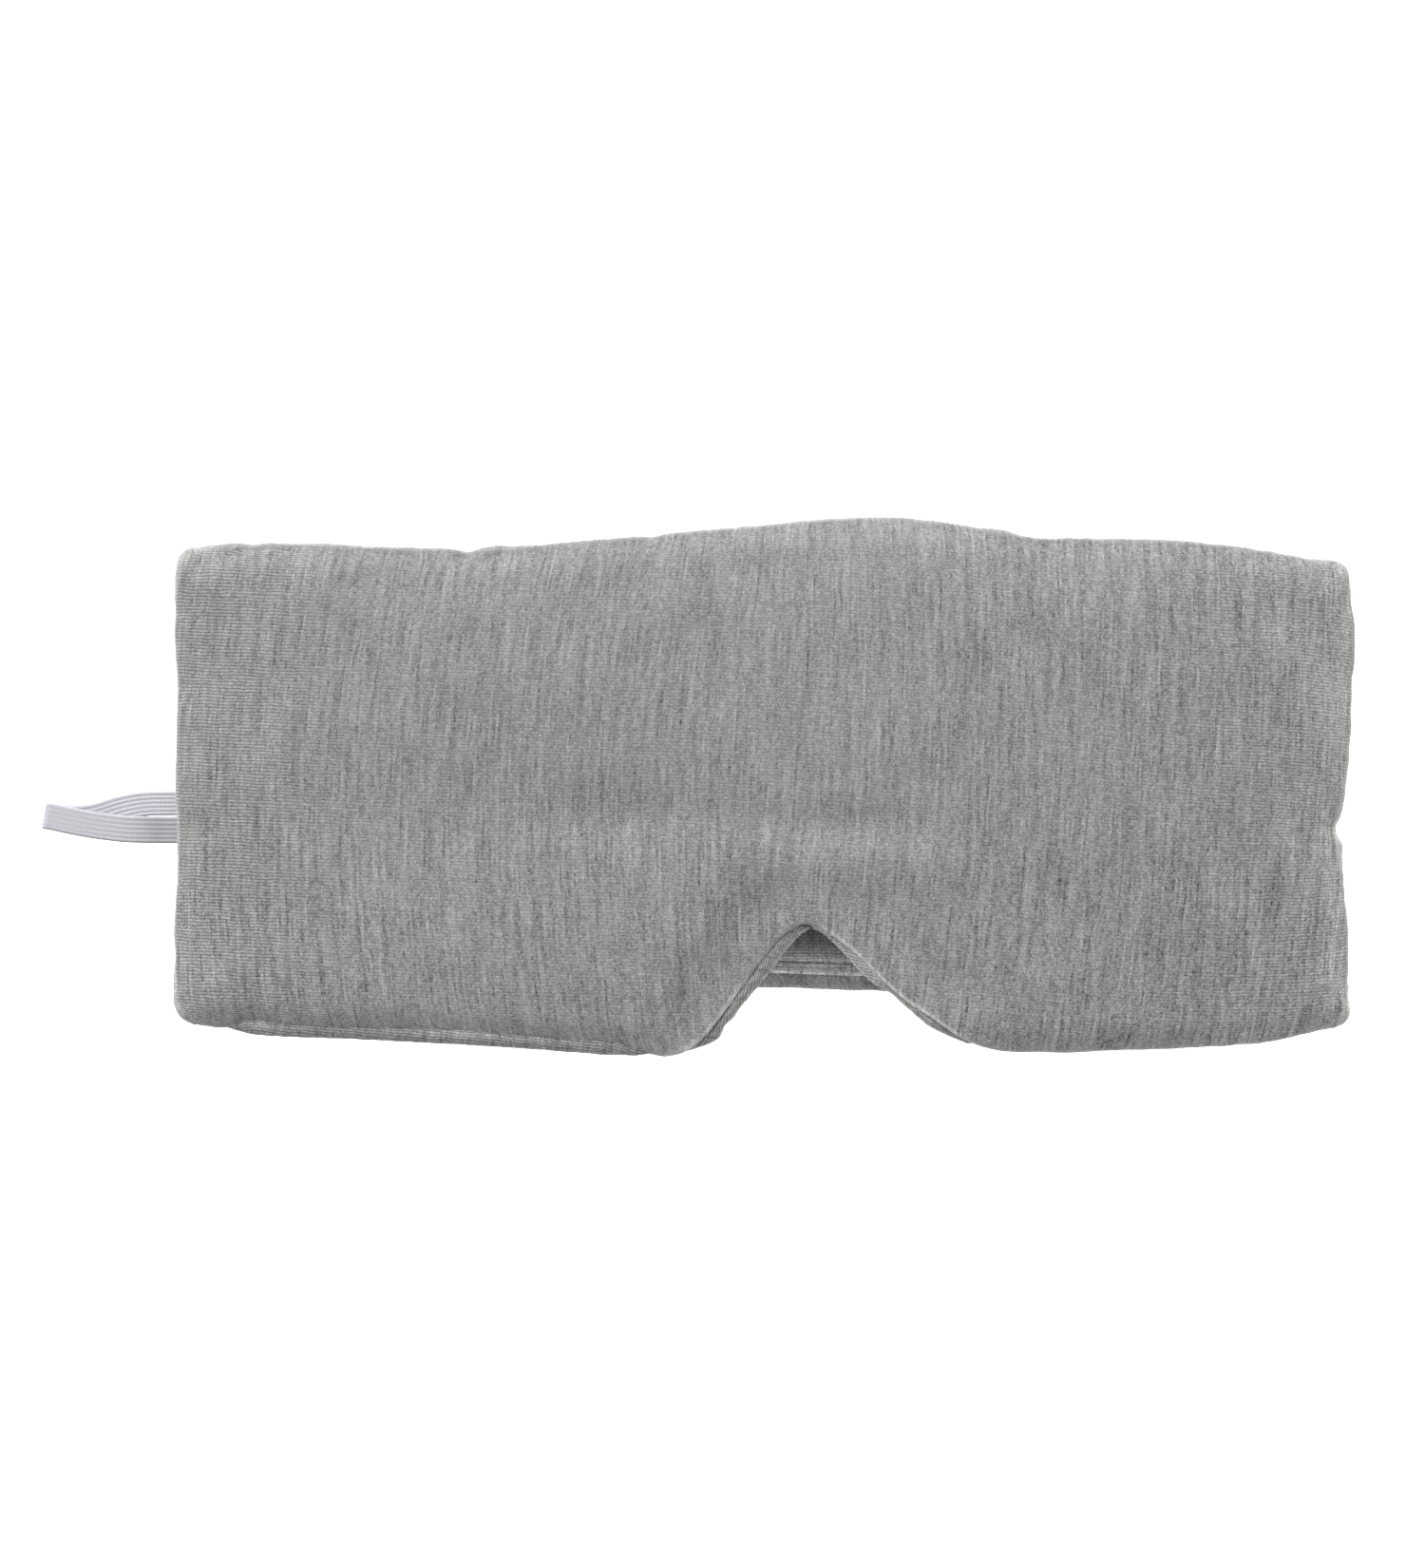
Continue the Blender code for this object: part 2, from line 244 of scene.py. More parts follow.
band_low, band_high = corners("back_band_cover")
PAD = resample(outline_of("front_cover", 3.5), OUTLINE_STEP)
BAND = resample(outline_of("back_band_cover", band_low[1] + 3.0), OUTLINE_STEP)
PAD_LINE, BAND_LINE = Outline(PAD), Outline(BAND)
PAD_LOW, PAD_HIGH = PAD.min(0), PAD.max(0)

# where the right edge is pulled in, and the top of the nose notch
right_edge = PAD[(PAD[:, 0] > 90) & (PAD[:, 1] > 0) & (PAD[:, 1] < 24)]
PINCH_X, PINCH_Z = right_edge[np.argmin(right_edge[:, 0])]
notch_edge = PAD[(np.abs(PAD[:, 0]) < 15) & (PAD[:, 1] < 20)]
NOSE_X, NOSE_Z = notch_edge[np.argmax(notch_edge[:, 1])]


# ------------------------------------------------------------------ mesh helpers
def new_mesh(name, verts, faces):
    mesh = bpy.data.meshes.new(name)
    mesh.from_pydata([tuple(v) for v in np.asarray(verts, float) * MM], [],
                     [tuple(int(i) for i in face) for face in faces])
    mesh.validate()
    mesh.update()
    mesh.shade_smooth()
    obj = bpy.data.objects.new(name, mesh)
    SCENE.collection.objects.link(obj)
    return obj


def vertex_vectors(mesh, key):
    values = np.empty(len(mesh.vertices) * 3, np.float32)
    mesh.vertices.foreach_get(key, values)
    return values.reshape(-1, 3).astype(float)


def coords(obj):
    return vertex_vectors(obj.data, "co") / MM


def normals(obj):
    return vertex_vectors(obj.data, "normal")


def set_coords(obj, points):
    obj.data.vertices.foreach_set("co", (points * MM).astype(np.float32).ravel())
    obj.data.update()


def evaluated(obj):
    bpy.context.view_layer.update()
    return obj.evaluated_get(bpy.context.evaluated_depsgraph_get())


def baked(obj):
    """The object with its modifiers and transform applied, as a new plain mesh object."""
    mesh = bpy.data.meshes.new_from_object(evaluated(obj))
    matrix = obj.matrix_world.copy()
    name = obj.name
    bpy.data.objects.remove(obj, do_unlink=True)
    mesh.transform(matrix)
    mesh.name = name
    made = bpy.data.objects.new(name, mesh)
    SCENE.collection.objects.link(made)
    mesh.shade_smooth()
    return made


def turn_outward(obj, weld_m=None):
    """Turns the faces outward, after merging vertices closer than weld_m metres if it is given."""
    bm = bmesh.new()
    bm.from_mesh(obj.data)
    if weld_m:
        bmesh.ops.remove_doubles(bm, verts=bm.verts, dist=weld_m)
    bmesh.ops.recalc_face_normals(bm, faces=bm.faces)
    bm.to_mesh(obj.data)
    bm.free()
    obj.data.update()


def remeshed(obj, voxel):
    modifier = obj.modifiers.new("remesh", "REMESH")
    modifier.mode = "VOXEL"
    modifier.voxel_size = voxel * MM
    return baked(obj)


def subdivided(obj, levels):
    modifier = obj.modifiers.new("smooth", "SUBSURF")
    modifier.levels = modifier.render_levels = levels
    return baked(obj)


def slab(name, outline, front_y, back_y, rounding):
    """A closed pad blank: an outline filled between two depths, with a rounded edge."""
    data = bpy.data.curves.new(name, "CURVE")
    data.dimensions = "2D"
    data.fill_mode = "BOTH"
    spline = data.splines.new("POLY")
    coarse = outline[::4]
    spline.points.add(len(coarse) - 1)
    for knot, (x, z) in zip(spline.points, coarse):
        knot.co = (x * MM, z * MM, 0.0, 1.0)
    spline.use_cyclic_u = True
    data.extrude = ((back_y - front_y) / 2 - rounding) * MM
    data.bevel_depth = rounding * MM
    data.bevel_resolution = 4
    data.offset = -rounding * MM
    obj = bpy.data.objects.new(name, data)
    obj.rotation_euler = (math.radians(90), 0, 0)
    obj.location = (0, (front_y + back_y) / 2 * MM, 0)
    SCENE.collection.objects.link(obj)
    obj = baked(obj)
    turn_outward(obj, weld_m=2e-6)
    return obj


CLOTH = {
    "quality": 6, "mass": 0.12,
    "tension_stiffness": 9, "compression_stiffness": 9, "shear_stiffness": 4,
    "bending_stiffness": 0.6,
    "use_pressure": True, "uniform_pressure_force": 4.0,
    "vertex_group_mass": "seam", "pin_stiffness": 1.0,
    "shrink_min": -0.02,     # the cloth is cut a little loose
}


def inflate(obj, line, mid_y, cap, hold):
    """Remeshes a pad blank and blows it up as cloth.

    The cloth is held along its seam, up to hold inside the outline, and moves at most cap.
    """
    obj = remeshed(obj, voxel=2.2)
    rest = coords(obj)
    held = (np.clip(1 - (line.inside(rest) - hold) / (hold * 1.5), 0, 1)
            * np.clip(1 - (np.abs(rest[:, 1] - mid_y) - 1.6) / 1.2, 0, 1))
    group = obj.vertex_groups.new(name="seam")
    for k in np.nonzero(held > 0.01)[0]:
        group.add([int(k)], float(held[k]), "REPLACE")
    cloth = obj.modifiers.new("cloth", "CLOTH")
    for key, value in CLOTH.items():
        setattr(cloth.settings, key, value)
    cloth.settings.effector_weights.gravity = 0
    cloth.point_cache.frame_start = 1
    cloth.point_cache.frame_end = 21
    for frame_number in range(1, 21):
        SCENE.frame_set(frame_number)
    moved = vertex_vectors(evaluated(obj).data, "co") / MM
    obj.modifiers.remove(cloth)
    obj.vertex_groups.clear()
    SCENE.frame_set(1)
    step = moved - rest
    size = np.linalg.norm(step, axis=1)
    limited = cap * np.tanh(size / cap)
    set_coords(obj, rest + step * (limited / np.maximum(size, 1e-9))[:, None])
    return obj


def sheet(name, line, depth_at, shape=None, *, inset, spacing=0.9, thick=0.9,
          rings=HEM_RINGS, rim=0.45, grid=2.0):
    """A thin panel with a rounded edge, and the outline of that edge.

    depth_at(xz) gives the depth of its middle, rings are the insets of the rows of points that
    follow its edge, and shape(inside, arc) adds to its depth.
    """
    edge = line.inset(inset, spacing)
    own = Outline(edge)
    points = list(edge)
    for ring in rings:
        points.extend(own.inset(ring, spacing))
    low, high = edge.min(0), edge.max(0)
    grid_x = np.arange(low[0], high[0], grid)
    grid_z = np.arange(low[1], high[1], grid * 0.87)
    middle = np.array([(x + (grid / 2 if row % 2 else 0), z)
                       for row, z in enumerate(grid_z) for x in grid_x])
    points.extend(middle[own.measure(middle)[0] > rings[-1] + grid * 0.7])
    edges = [(k, (k + 1) % len(edge)) for k in range(len(edge))]
    filled = delaunay_2d_cdt([Vector(p) for p in points], edges, [], 1, 1e-5)
    xz = np.array([tuple(p) for p in filled[0]])
    triangles = [list(t) for t in filled[2]]

    inside, arc, _ = own.measure(xz)
    inside = np.maximum(inside, 0)
    y = depth_at(xz)
    if shape is not None:
        y = y + shape(inside, arc)
    half = np.sqrt(np.clip(1 - (1 - np.clip(inside / rim, 0, 1)) ** 2, 0, 1)) * thick / 2
    verts = np.vstack([np.column_stack([xz[:, 0], y + side * half, xz[:, 1]])
                       for side in (FRONT, REAR)])

    # the back face shares its border vertices with the front face
    directed = {pair for t in triangles for pair in zip(t, t[1:] + t[:1])}
    border = {v for a, b in directed if (b, a) not in directed for v in (a, b)}
    behind = [v if v in border else v + len(xz) for v in range(len(xz))]
    faces = triangles + [[behind[v] for v in reversed(t)] for t in triangles]
    used = sorted({v for face in faces for v in face})
    renumbered = {v: k for k, v in enumerate(used)}
    obj = new_mesh(name, verts[used], [[renumbered[v] for v in face] for face in faces])
    turn_outward(obj)
    return obj, own


def loft_faces(rows, sides, caps=True):
    """Quads between successive closed rows of vertices, with a polygon at each end."""
    faces = []
    for k in range(rows - 1):
        here, ahead = k * sides, (k + 1) * sides
        for j in range(sides):
            beside = (j + 1) % sides
            faces.append((here + j, here + beside, ahead + beside, ahead + j))
    if caps:
        faces.append(tuple(range(sides)))
        faces.append(tuple(range((rows - 1) * sides, rows * sides))[::-1])
    return faces


def tube(path, radius, sides):
    """The vertices and faces of a round tube along a path of (x, y, z) points."""
    path = np.asarray(path, float)
    ahead = unit(np.gradient(path, axis=0))
    side = unit(np.cross(ahead, (0.0, 1.0, 0.0)))
    up = np.cross(side, ahead)
    angle = (2 * math.pi * np.arange(sides) / sides)[None, :, None]
    ring = side[:, None] * np.cos(angle) + up[:, None] * np.sin(angle)
    verts = path[:, None] + ring * radius
    return verts.reshape(-1, 3), loft_faces(len(path), sides)


def joined(name, parts):
    """One mesh object out of (verts, faces) pairs."""
    verts, faces, base = [], [], 0
    for part_verts, part_faces in parts:
        verts.append(part_verts)
        faces.extend([tuple(i + base for i in face) for face in part_faces])
        base += len(part_verts)
    obj = new_mesh(name, np.vstack(verts), faces)
    turn_outward(obj)
    return obj


def surface(obj):
    faces = [tuple(p.vertices) for p in obj.data.polygons]
    return BVHTree.FromPolygons([v.co / MM for v in obj.data.vertices], faces)


def depth_over(tree, xz, side, fallback):
    """Depth of a surface seen along Y from its front or rear, with a fallback off its edge."""
    out = np.full(len(xz), fallback, float)
    for k, (x, z) in enumerate(xz):
        hit = tree.ray_cast(Vector((x, 40.0 * side, z)), Vector((0, -side, 0)))[0]
        if hit is not None:
            out[k] = hit.y
    return out


def tucked(points, tree, gap):
    """Points kept at least gap inside a closed surface."""
    for k, point in enumerate(points):
        near, normal, _, _ = tree.find_nearest(Vector(point))
        if (Vector(point) - near).dot(normal) > -gap:
            points[k] = near - normal * gap
    return points


# ------------------------------------------------------------------ the knit's own coordinates
# The rows' lean in degrees across the front, and the rise it adds up to.
KNIT_X = np.linspace(-140, 120, 1041)
KNIT_LEAN = (1.2 + 1.7 * bell(KNIT_X, -87, 22) + 4.0 * bell(KNIT_X, 42, 36)
             - 1.4 * bell(KNIT_X, 90, 16))
KNIT_RISE = np.concatenate([[0], np.cumsum(np.tan(np.radians(KNIT_LEAN[1:])) * np.diff(KNIT_X))])
KNIT_RISE -= np.interp(0.0, KNIT_X, KNIT_RISE)


def unrolled(points, normal, depth):
    """Fabric (across, up) of points; depth from the flat face carries them on round an edge."""
    return points[:, 0] + depth * normal[:, 0], points[:, 2] + depth * normal[:, 2]


def front_knit(points, normal):
    """(across, up, rib contrast) of the front cover, in mm of fabric."""
    x, y, z = points.T
    across, up = unrolled(points, normal, y)
    up = up + np.interp(x, KNIT_X, KNIT_RISE)
    # the rows draw together towards the pinch in the right edge
    up = up + 1.7 * np.tanh((z - PINCH_Z) / 6.0) * np.exp(-np.clip(105.0 - x, 0, 200) / 12.0)
    # the ribs bow one way on the left and another on the right
    left_bow = 0.00384 * (z - 12) ** 2 / 2
    right_bow = 0.0785 * (z - 10) - 0.00157 * (z - 10) ** 2 / 2
    blend = smoothstep(-28, 14, x)
    across = across - (left_bow * (1 - blend) + right_bow * blend)
    # the ribs' bump and painted shade grow towards the left and right edges
    contrast = 0.25 + 0.52 * smoothstep(-84, -114, x) + 0.31 * smoothstep(56, 98, x)
    return np.column_stack([across, up, contrast])


def plain_knit(points, normal, face_y, contrast=0.5):
    """(across, up, rib contrast) of the other panels."""
    across, up = unrolled(points, normal, face_y - points[:, 1])
    return np.column_stack([across, up, np.full(len(points), contrast)])


def set_knit(obj, values):
    attribute = obj.data.attributes.new("knit", "FLOAT_VECTOR", "POINT")
    attribute.data.foreach_set("vector", np.asarray(values, np.float32).ravel())


def set_painted_light(obj, values):
    """How much lighter the cloth is painted at each point: painted light, negative where it is
    painted shade.
    """
    attribute = obj.data.attributes.new("lift", "FLOAT", "POINT")
    attribute.data.foreach_set("value", np.asarray(values, np.float32).ravel())


# ------------------------------------------------------------------ materials
class Value:
    """A shader output socket; arithmetic on it adds Math nodes."""

    def __init__(self, shader, socket):
        self.shader = shader
        self.socket = socket

    def __add__(self, other):
        return self.shader.math("ADD", self, other)

    def __radd__(self, other):
        return self.shader.math("ADD", other, self)

    def __sub__(self, other):
        return self.shader.math("SUBTRACT", self, other)

    def __rsub__(self, other):
        return self.shader.math("SUBTRACT", other, self)

    def __mul__(self, other):
        return self.shader.math("MULTIPLY", self, other)

    def __truediv__(self, other):
        return self.shader.math("DIVIDE", self, other)

    def __pow__(self, other):
        return self.shader.math("POWER", self, other)

    def __abs__(self):
        return self.shader.math("ABSOLUTE", self)

    def floor(self):
        return self.shader.math("FLOOR", self)

    def fract(self):
        return self.shader.math("FRACT", self)

    def sine(self):
        return self.shader.math("SINE", self)

    def cosine(self):
        return self.shader.math("COSINE", self)


class Shader:
    """A material and a short way to write its graph."""

    def __init__(self, name, base, rough):
        self.material = bpy.data.materials.new(name)
        self.material.use_nodes = True
        self.tree = self.material.node_tree
        self.bsdf = self.tree.nodes["Principled BSDF"]
        self.surface({"Base Color": (*base, 1), "Roughness": rough})

    def put(self, socket, value):
        if isinstance(value, Value):
            self.tree.links.new(value.socket, socket)
        else:
            socket.default_value = value

    def surface(self, inputs):
        """Sets or links inputs of the Principled BSDF."""
        for key, value in inputs.items():
            self.put(self.bsdf.inputs[key], value)

    def node(self, kind, inputs, output=0, **settings):
        made = self.tree.nodes.new("ShaderNode" + kind)
        for key, value in settings.items():
            setattr(made, key, value)
        for key, value in inputs.items():
            self.put(made.inputs[key], value)
        return Value(self, made.outputs[output])

    def math(self, operation, *values):
        return self.node("Math", dict(enumerate(values)), operation=operation)

    def separate(self, vector):
        made = self.tree.nodes.new("ShaderNodeSeparateXYZ")
        self.put(made.inputs[0], vector)
        return [Value(self, socket) for socket in made.outputs]

    def vector(self, place):
        """A vector value out of one, or out of its three parts."""
        if isinstance(place, Value):
            return place
        return self.node("CombineXYZ", dict(enumerate(place)))

    def knit(self):
        vector = self.node("Attribute", {}, "Vector", attribute_name="knit")
        return self.separate(vector)

    def lift(self):
        # the lift attribute holds painted light and shade, as a factor on the colour
        return 1.0 + self.node("Attribute", {}, "Fac", attribute_name="lift")

    def position_mm(self):
        """Object-space position in millimetres."""
        place = self.node("TexCoord", {}, "Object")
        return self.node("VectorMath", {0: place, "Scale": 1000.0}, operation="SCALE")

    def noise(self, place, scale=1.0, detail=1.0, rough=0.5):
        inputs = {"Scale": scale, "Detail": detail, "Roughness": rough,
                  "Vector": self.vector(place)}
        return self.node("TexNoise", inputs)

    def white(self, place):
        inputs = {"Vector": self.vector(place)}
        return self.node("TexWhiteNoise", inputs, "Value", noise_dimensions="3D")

    def ramp(self, value, span, to=(0.0, 1.0)):
        inputs = dict(enumerate((value, *span, *to)))
        return self.node("MapRange", inputs, clamp=True, interpolation_type="SMOOTHSTEP")

    def tint(self, colour, factor):
        """A constant colour times a value."""
        return self.node("VectorMath", {0: colour, "Scale": factor}, operation="SCALE")

    def bump(self, height, distance_m, strength):
        inputs = {"Strength": strength, "Distance": distance_m, "Height": height}
        self.surface({"Normal": self.node("Bump", inputs)})


def jersey(name, colour, heather=1.0, ribs=1.0):
    """Heather jersey: rows of mixed-fibre yarn crossed by the fine ribs of the knit."""
    shader = Shader(name, colour, rough=0.92)
    across, up, contrast = shader.knit()
    drift_up = shader.noise((across * 0.22, up * 0.22, 5.0))
    drift_across = shader.noise((across * 0.25, up * 0.12, 9.0))
    wavy_across = across + (drift_across - 0.5) * 0.9
    wavy_up = up + (drift_up - 0.5) * 0.5
    row = wavy_across / COURSE
    row_number, in_row = row.floor(), row.fract()
    rib = wavy_up / WALE
    rib_number, in_rib = rib.floor(), rib.fract()

    fuzz = shader.noise((across, up, 3.0), scale=4.6, rough=0.6)
    mottling = (    # pattern, weight
        (shader.noise((row_number * 3.71, up * 0.075, 1.0)), 0.95),         # long yarns
        (shader.noise((row_number * 5.31, up * 0.30, 14.0), detail=2.0, rough=0.6), 0.52),
        (shader.white((row_number, rib_number, 2.0)), 0.26),                # single loops
        (shader.noise((wavy_across * 0.75, up * 0.055, 21.0)), 0.37),       # wide streaks
        (shader.noise((across * 0.05, up * 0.05, 33.0), detail=2.0), 0.14),  # patches
        (fuzz, 1.50),
        (shader.white(((wavy_across / 0.33).floor(), (wavy_up / (WALE / 2)).floor(), 71.0)),
         0.36),                                                             # fine grain
    )
    terms = [(pattern - 0.5) * (weight * heather) for pattern, weight in mottling]
    tone = sum(terms[1:], terms[0])
    # a few dark fibres and pale slubs
    fleck = shader.ramp(shader.noise((row_number * 9.7, up * 0.9, 40.0)), span=(0.70, 0.78))
    slub = shader.ramp(shader.noise((row_number * 7.9, up * 0.35, 55.0)), span=(0.69, 0.77))
    tone = tone + fleck * (-0.24 * heather)
    tone = tone + slub * (0.15 * heather)

    # painted shade in a broken valley between neighbouring ribs
    valley = (((in_rib * (2 * math.pi)).cosine() + 1.0) * 0.5) ** 1.5
    gap = shader.white(((wavy_across / 0.42).floor(), rib_number, 81.0))
    patchy = shader.noise((across * 0.9, rib_number * 4.3, 61.0))
    broken = shader.ramp(patchy, span=(0.3, 0.7), to=(0.25, 0.95)) + gap * 0.8
    depth = contrast * broken * (0.62 * ribs)
    mean_valley = 0.4244
    shade = 1.03 - (valley - mean_valley) * depth

    # painted highlight where the cloth turns away from the camera, times the painted light and
    # shade of the lift attribute
    facing = shader.node("LayerWeight", {"Blend": 0.5}, "Facing")
    painted_light_factor = shader.ramp(facing, span=(0.45, 0.98), to=(1.0, 1.25)) * shader.lift()
    # the yarns show up more strongly to the right and low down
    gain = (shader.ramp(across, span=(0.0, 70.0), to=(1.02, 1.17))
            * (1.16 - shader.ramp(up, span=(-22.0, 32.0), to=(0.0, 0.18))))
    darkest = 0.15
    level = shader.math("MAXIMUM", (tone * gain + 1.0) * (shade * painted_light_factor), darkest)
    shader.surface({
        "Base Color": shader.tint(colour, level),
        "Sheen Weight": 0.40,
        "Sheen Roughness": 0.42,
        "Specular IOR Level": 0.15,
        "Roughness": shader.ramp(fuzz, span=(0.2, 0.8), to=(0.86, 1.0)),
    })
    # round ribs, with each loop's middle standing proud along them
    off_middle = abs(in_row - 0.5)
    height = (in_rib * math.pi).sine() * (contrast * 0.55 + 0.16) - off_middle * 0.5
    shader.bump(height + fuzz * 0.5, distance_m=0.00011, strength=0.7)
    return shader.material


def braid(name, colour):
    """Braided elastic: lengthwise cords with fine slanted yarns across them."""
    shader = Shader(name, colour, rough=0.62)
    along, cord, contrast = shader.knit()
    yarn_pitch = 0.42
    slant = along * (2 * math.pi / yarn_pitch) + abs(cord.fract() - 0.5) * 5.0
    yarn = slant.sine()
    mottled = shader.noise((along * 0.8, cord * 1.4, 2.0), detail=3.0, rough=0.6)
    fine = shader.noise((along * 4.0, cord * 6.0, 8.0), detail=2.0, rough=0.6)
    # painted shade in the grooves between the cords
    groove = (((cord * (2 * math.pi)).cosine() + 1.0) * 0.5) ** 4.0
    level = 1.02 + (mottled - 0.5) * 0.12
    level = level + (fine - 0.5) * 0.10
    level = level + yarn * 0.018
    level = level - groove * (contrast * 0.16)
    shader.surface({
        "Base Color": shader.tint(colour, level * shader.lift()),
        "Sheen Weight": 0.15,
        "Specular IOR Level": 0.35,
        "Roughness": shader.ramp(mottled, span=(0.3, 0.7), to=(0.52, 0.7)),
    })
    shader.bump(yarn * 0.5 + fine, distance_m=0.00006, strength=0.7)
    return shader.material


def spun(name, colour):
    """Sewing thread: two plies twisted round each other."""
    shader = Shader(name, colour, rough=0.75)
    place = shader.position_mm()
    x, y, z = shader.separate(place)
    twist_pitch = 0.35
    ply = ((x + z + y * 0.7) * (2 * math.pi / twist_pitch)).sine()
    hair = shader.noise(place, scale=6.0, detail=2.0, rough=0.6)
    level = 0.96 + ply * 0.10 + (hair - 0.5) * 0.3
    shader.surface({"Base Color": shader.tint(colour, level), "Sheen Weight": 0.2})
    shader.bump(ply + hair, distance_m=0.00005, strength=0.8)
    return shader.material


def fibres(name, colour, stretch, contrast):
    """Wadding or coated interlining: matted fibres in layers."""
    shader = Shader(name, colour, rough=0.9)
    place = shader.node("VectorMath", {0: shader.position_mm(), 1: stretch},
                        operation="MULTIPLY")
    matted = shader.noise(place, scale=0.35, detail=6.0, rough=0.75)
    web = shader.noise(place, scale=1.7, detail=3.0, rough=0.7)
    level = 1.0 + (matted - 0.5) * (contrast * 2) + (web - 0.5) * (contrast * 2)
    shader.surface({"Base Color": shader.tint(colour, level), "Sheen Weight": 0.2})
    shader.bump(matted + web, distance_m=0.0003, strength=0.6)
    return shader.material


GREY = (0.289, 0.286, 0.2795)
JERSEY = jersey("heather_jersey", GREY)
LINING = jersey("heather_jersey_lining", GREY)
# the facings get a lighter copy of the jersey: painted light, where the notch keeps the studio
# light from them
FACING = jersey("heather_jersey_facing", tuple(c * 1.27 for c in GREY), heather=0.75, ribs=1.15)
ELASTIC = braid("lilac_white_braid", (0.56, 0.55, 0.60))
THREAD = spun("grey_spun_thread", (0.30, 0.297, 0.29))
WADDING = fibres("white_wadding", (0.80, 0.80, 0.78), stretch=(1, 0.4, 1), contrast=0.10)
BLACKOUT = fibres("black_interlining", (0.018, 0.018, 0.020), stretch=(2, 2, 2), contrast=0.2)


def dress(obj, material, slot, body, *nodes):
    """Gives an object its material, and tells the frame its body and replaced nodes; slot is not
    used.
    """
    obj.data.materials.clear()
    obj.data.materials.append(material)
    if nodes:
        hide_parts(*nodes)
    if body:
        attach(obj, body)


# ------------------------------------------------------------------ front pad
# Folds and dents in the front: x, z, direction in degrees, half length, half width, depth.
# A negative depth is a ridge.
DENTS = [
    (-17.0, 15.2, -2.0, 32.0, 3.2, 0.75),      # the long crease above the notch
    (-36.0, 19.0, 12.0, 16.0, 5.0, 0.55),
    (16.0, 13.0, -4.0, 20.0, 3.0, 0.35),
    (14.0, 8.0, -2.0, 22.0, 4.0, -0.35),
    (-19.0, -9.0, -65.0, 5.5, 0.8, -0.35),     # gathers beside the notch
    (-15.5, -5.0, -50.0, 5.0, 1.1, 0.35),
    (-24.0, -15.0, -70.0, 6.0, 1.3, 0.30),
    (-8.0, -2.4, -25.0, 6.0, 0.9, 0.40),
    (6.0, -4.2, -42.0, 6.0, 1.1, -0.35),
    (24.0, -13.5, -34.0, 8.0, 2.0, 0.25),
    (-112.0, 67.2, 38.0, 5.0, 0.9, 0.32),      # puckers along the top edge
    (-107.0, 68.4, -35.0, 4.0, 0.9, 0.30),
    (-103.5, 67.4, 30.0, 5.5, 1.0, 0.32),
    (-67.0, 67.7, 52.0, 4.5, 1.0, 0.55),
    (-60.0, 66.2, 60.0, 5.0, 1.3, 0.30),
    (-31.0, 69.7, 75.0, 4.5, 1.2, 0.35),
    (44.0, 69.4, -38.0, 6.0, 1.2, 0.60),
    (50.0, 68.6, -30.0, 5.0, 1.0, 0.35),
    (78.0, 67.4, 70.0, 4.0, 1.2, 0.30),
    (PINCH_X - 5.0, PINCH_Z + 1.2, 9.0, 8.0, 0.7, 0.18),    # wrinkles drawn into the pinch
    (PINCH_X - 5.0, PINCH_Z - 1.6, -9.0, 8.5, 0.8, 0.15),
    (PINCH_X - 9.0, PINCH_Z + 3.6, 16.0, 8.0, 0.8, 0.12),
    (PINCH_X - 9.0, PINCH_Z - 3.8, -14.0, 8.0, 0.8, 0.10),
    (PINCH_X - 20.0, PINCH_Z + 0.3, 1.0, 12.0, 1.6, 0.08),
    (-118.0, 13.6, 0.0, 7.0, 2.6, 0.30),       # a hollow by the left edge
]

# Where the sewn edge stands out past the smooth outline: x, z, how far, over what radius.
PUSHED = [
    (PAD_LOW[0] + 1.6, 67.4, 2.0, 3.4), (PAD_LOW[0] + 1.2, -22.8, 1.5, 3.5),
    (PAD_HIGH[0] - 2.2, 64.8, 2.05, 3.7), (-4.0, NOSE_Z, 0.5, 1.6),
    (PAD_HIGH[0] - 1.4, -24.4, 1.9, 3.4), (PINCH_X + 0.6, PINCH_Z - 1.6, 0.9, 1.5),
    (PINCH_X + 1.4, PINCH_Z - 3.8, 0.6, 2.2), (PINCH_X + 2.4, PINCH_Z - 6.8, 0.55, 2.8),
    (-27.5, -30.5, 0.6, 4.5), (37.0, -30.0, 0.4, 5.0),
    (PINCH_X + 1.2, PINCH_Z + 6.0, 0.6, 3.0), (PINCH_X, PINCH_Z + 0.9, 0.05, 0.9),
    (-60.5, 69.0, 0.6, 4.0), (-115.0, 69.0, 0.4, 6.0), (39.0, 71.5, 0.4, 4.0),
    (PAD_LOW[0] + 0.4, -17.0, 0.45, 3.0), (PAD_LOW[0] + 0.6, 61.0, 0.45, 3.0),
]

# Corners whose sewing dimples are drawn out: x, z, radius.
EASED_CORNERS = [
    (PAD_LOW[0], 68.0, 26.0), (PAD_HIGH[0], 66.0, 28.0),
    (PAD_LOW[0], -23.0, 20.0), (PAD_HIGH[0], -25.0, 24.0), (PINCH_X, PINCH_Z, 15.0),
]


def dent_field(x, z):
    total = np.zeros(len(x))
    for centre_x, centre_z, degrees, half_length, half_width, depth in DENTS:
        cos, sin = math.cos(math.radians(degrees)), math.sin(math.radians(degrees))
        along = (x - centre_x) * cos + (z - centre_z) * sin
        across = -(x - centre_x) * sin + (z - centre_z) * cos
        total += depth * np.exp(-0.5 * (across / half_width) ** 2
                                - (np.abs(along) / half_length) ** 3)
    return total


def in_notch(x, z):
    """1 along the two sides of the nose notch, falling to 0 away from it."""
    return smoothstep(-31.0, -22.0, x) * smoothstep(35.0, 26.0, x) * smoothstep(8.0, -3.0, z)


def lower_left(x, z):
    """1 along the lower left edge, where a rolled strip shows below the cover."""
    return smoothstep(-117.0, -109.0, x) * smoothstep(-24.0, -40.0, x) * (z < 0)


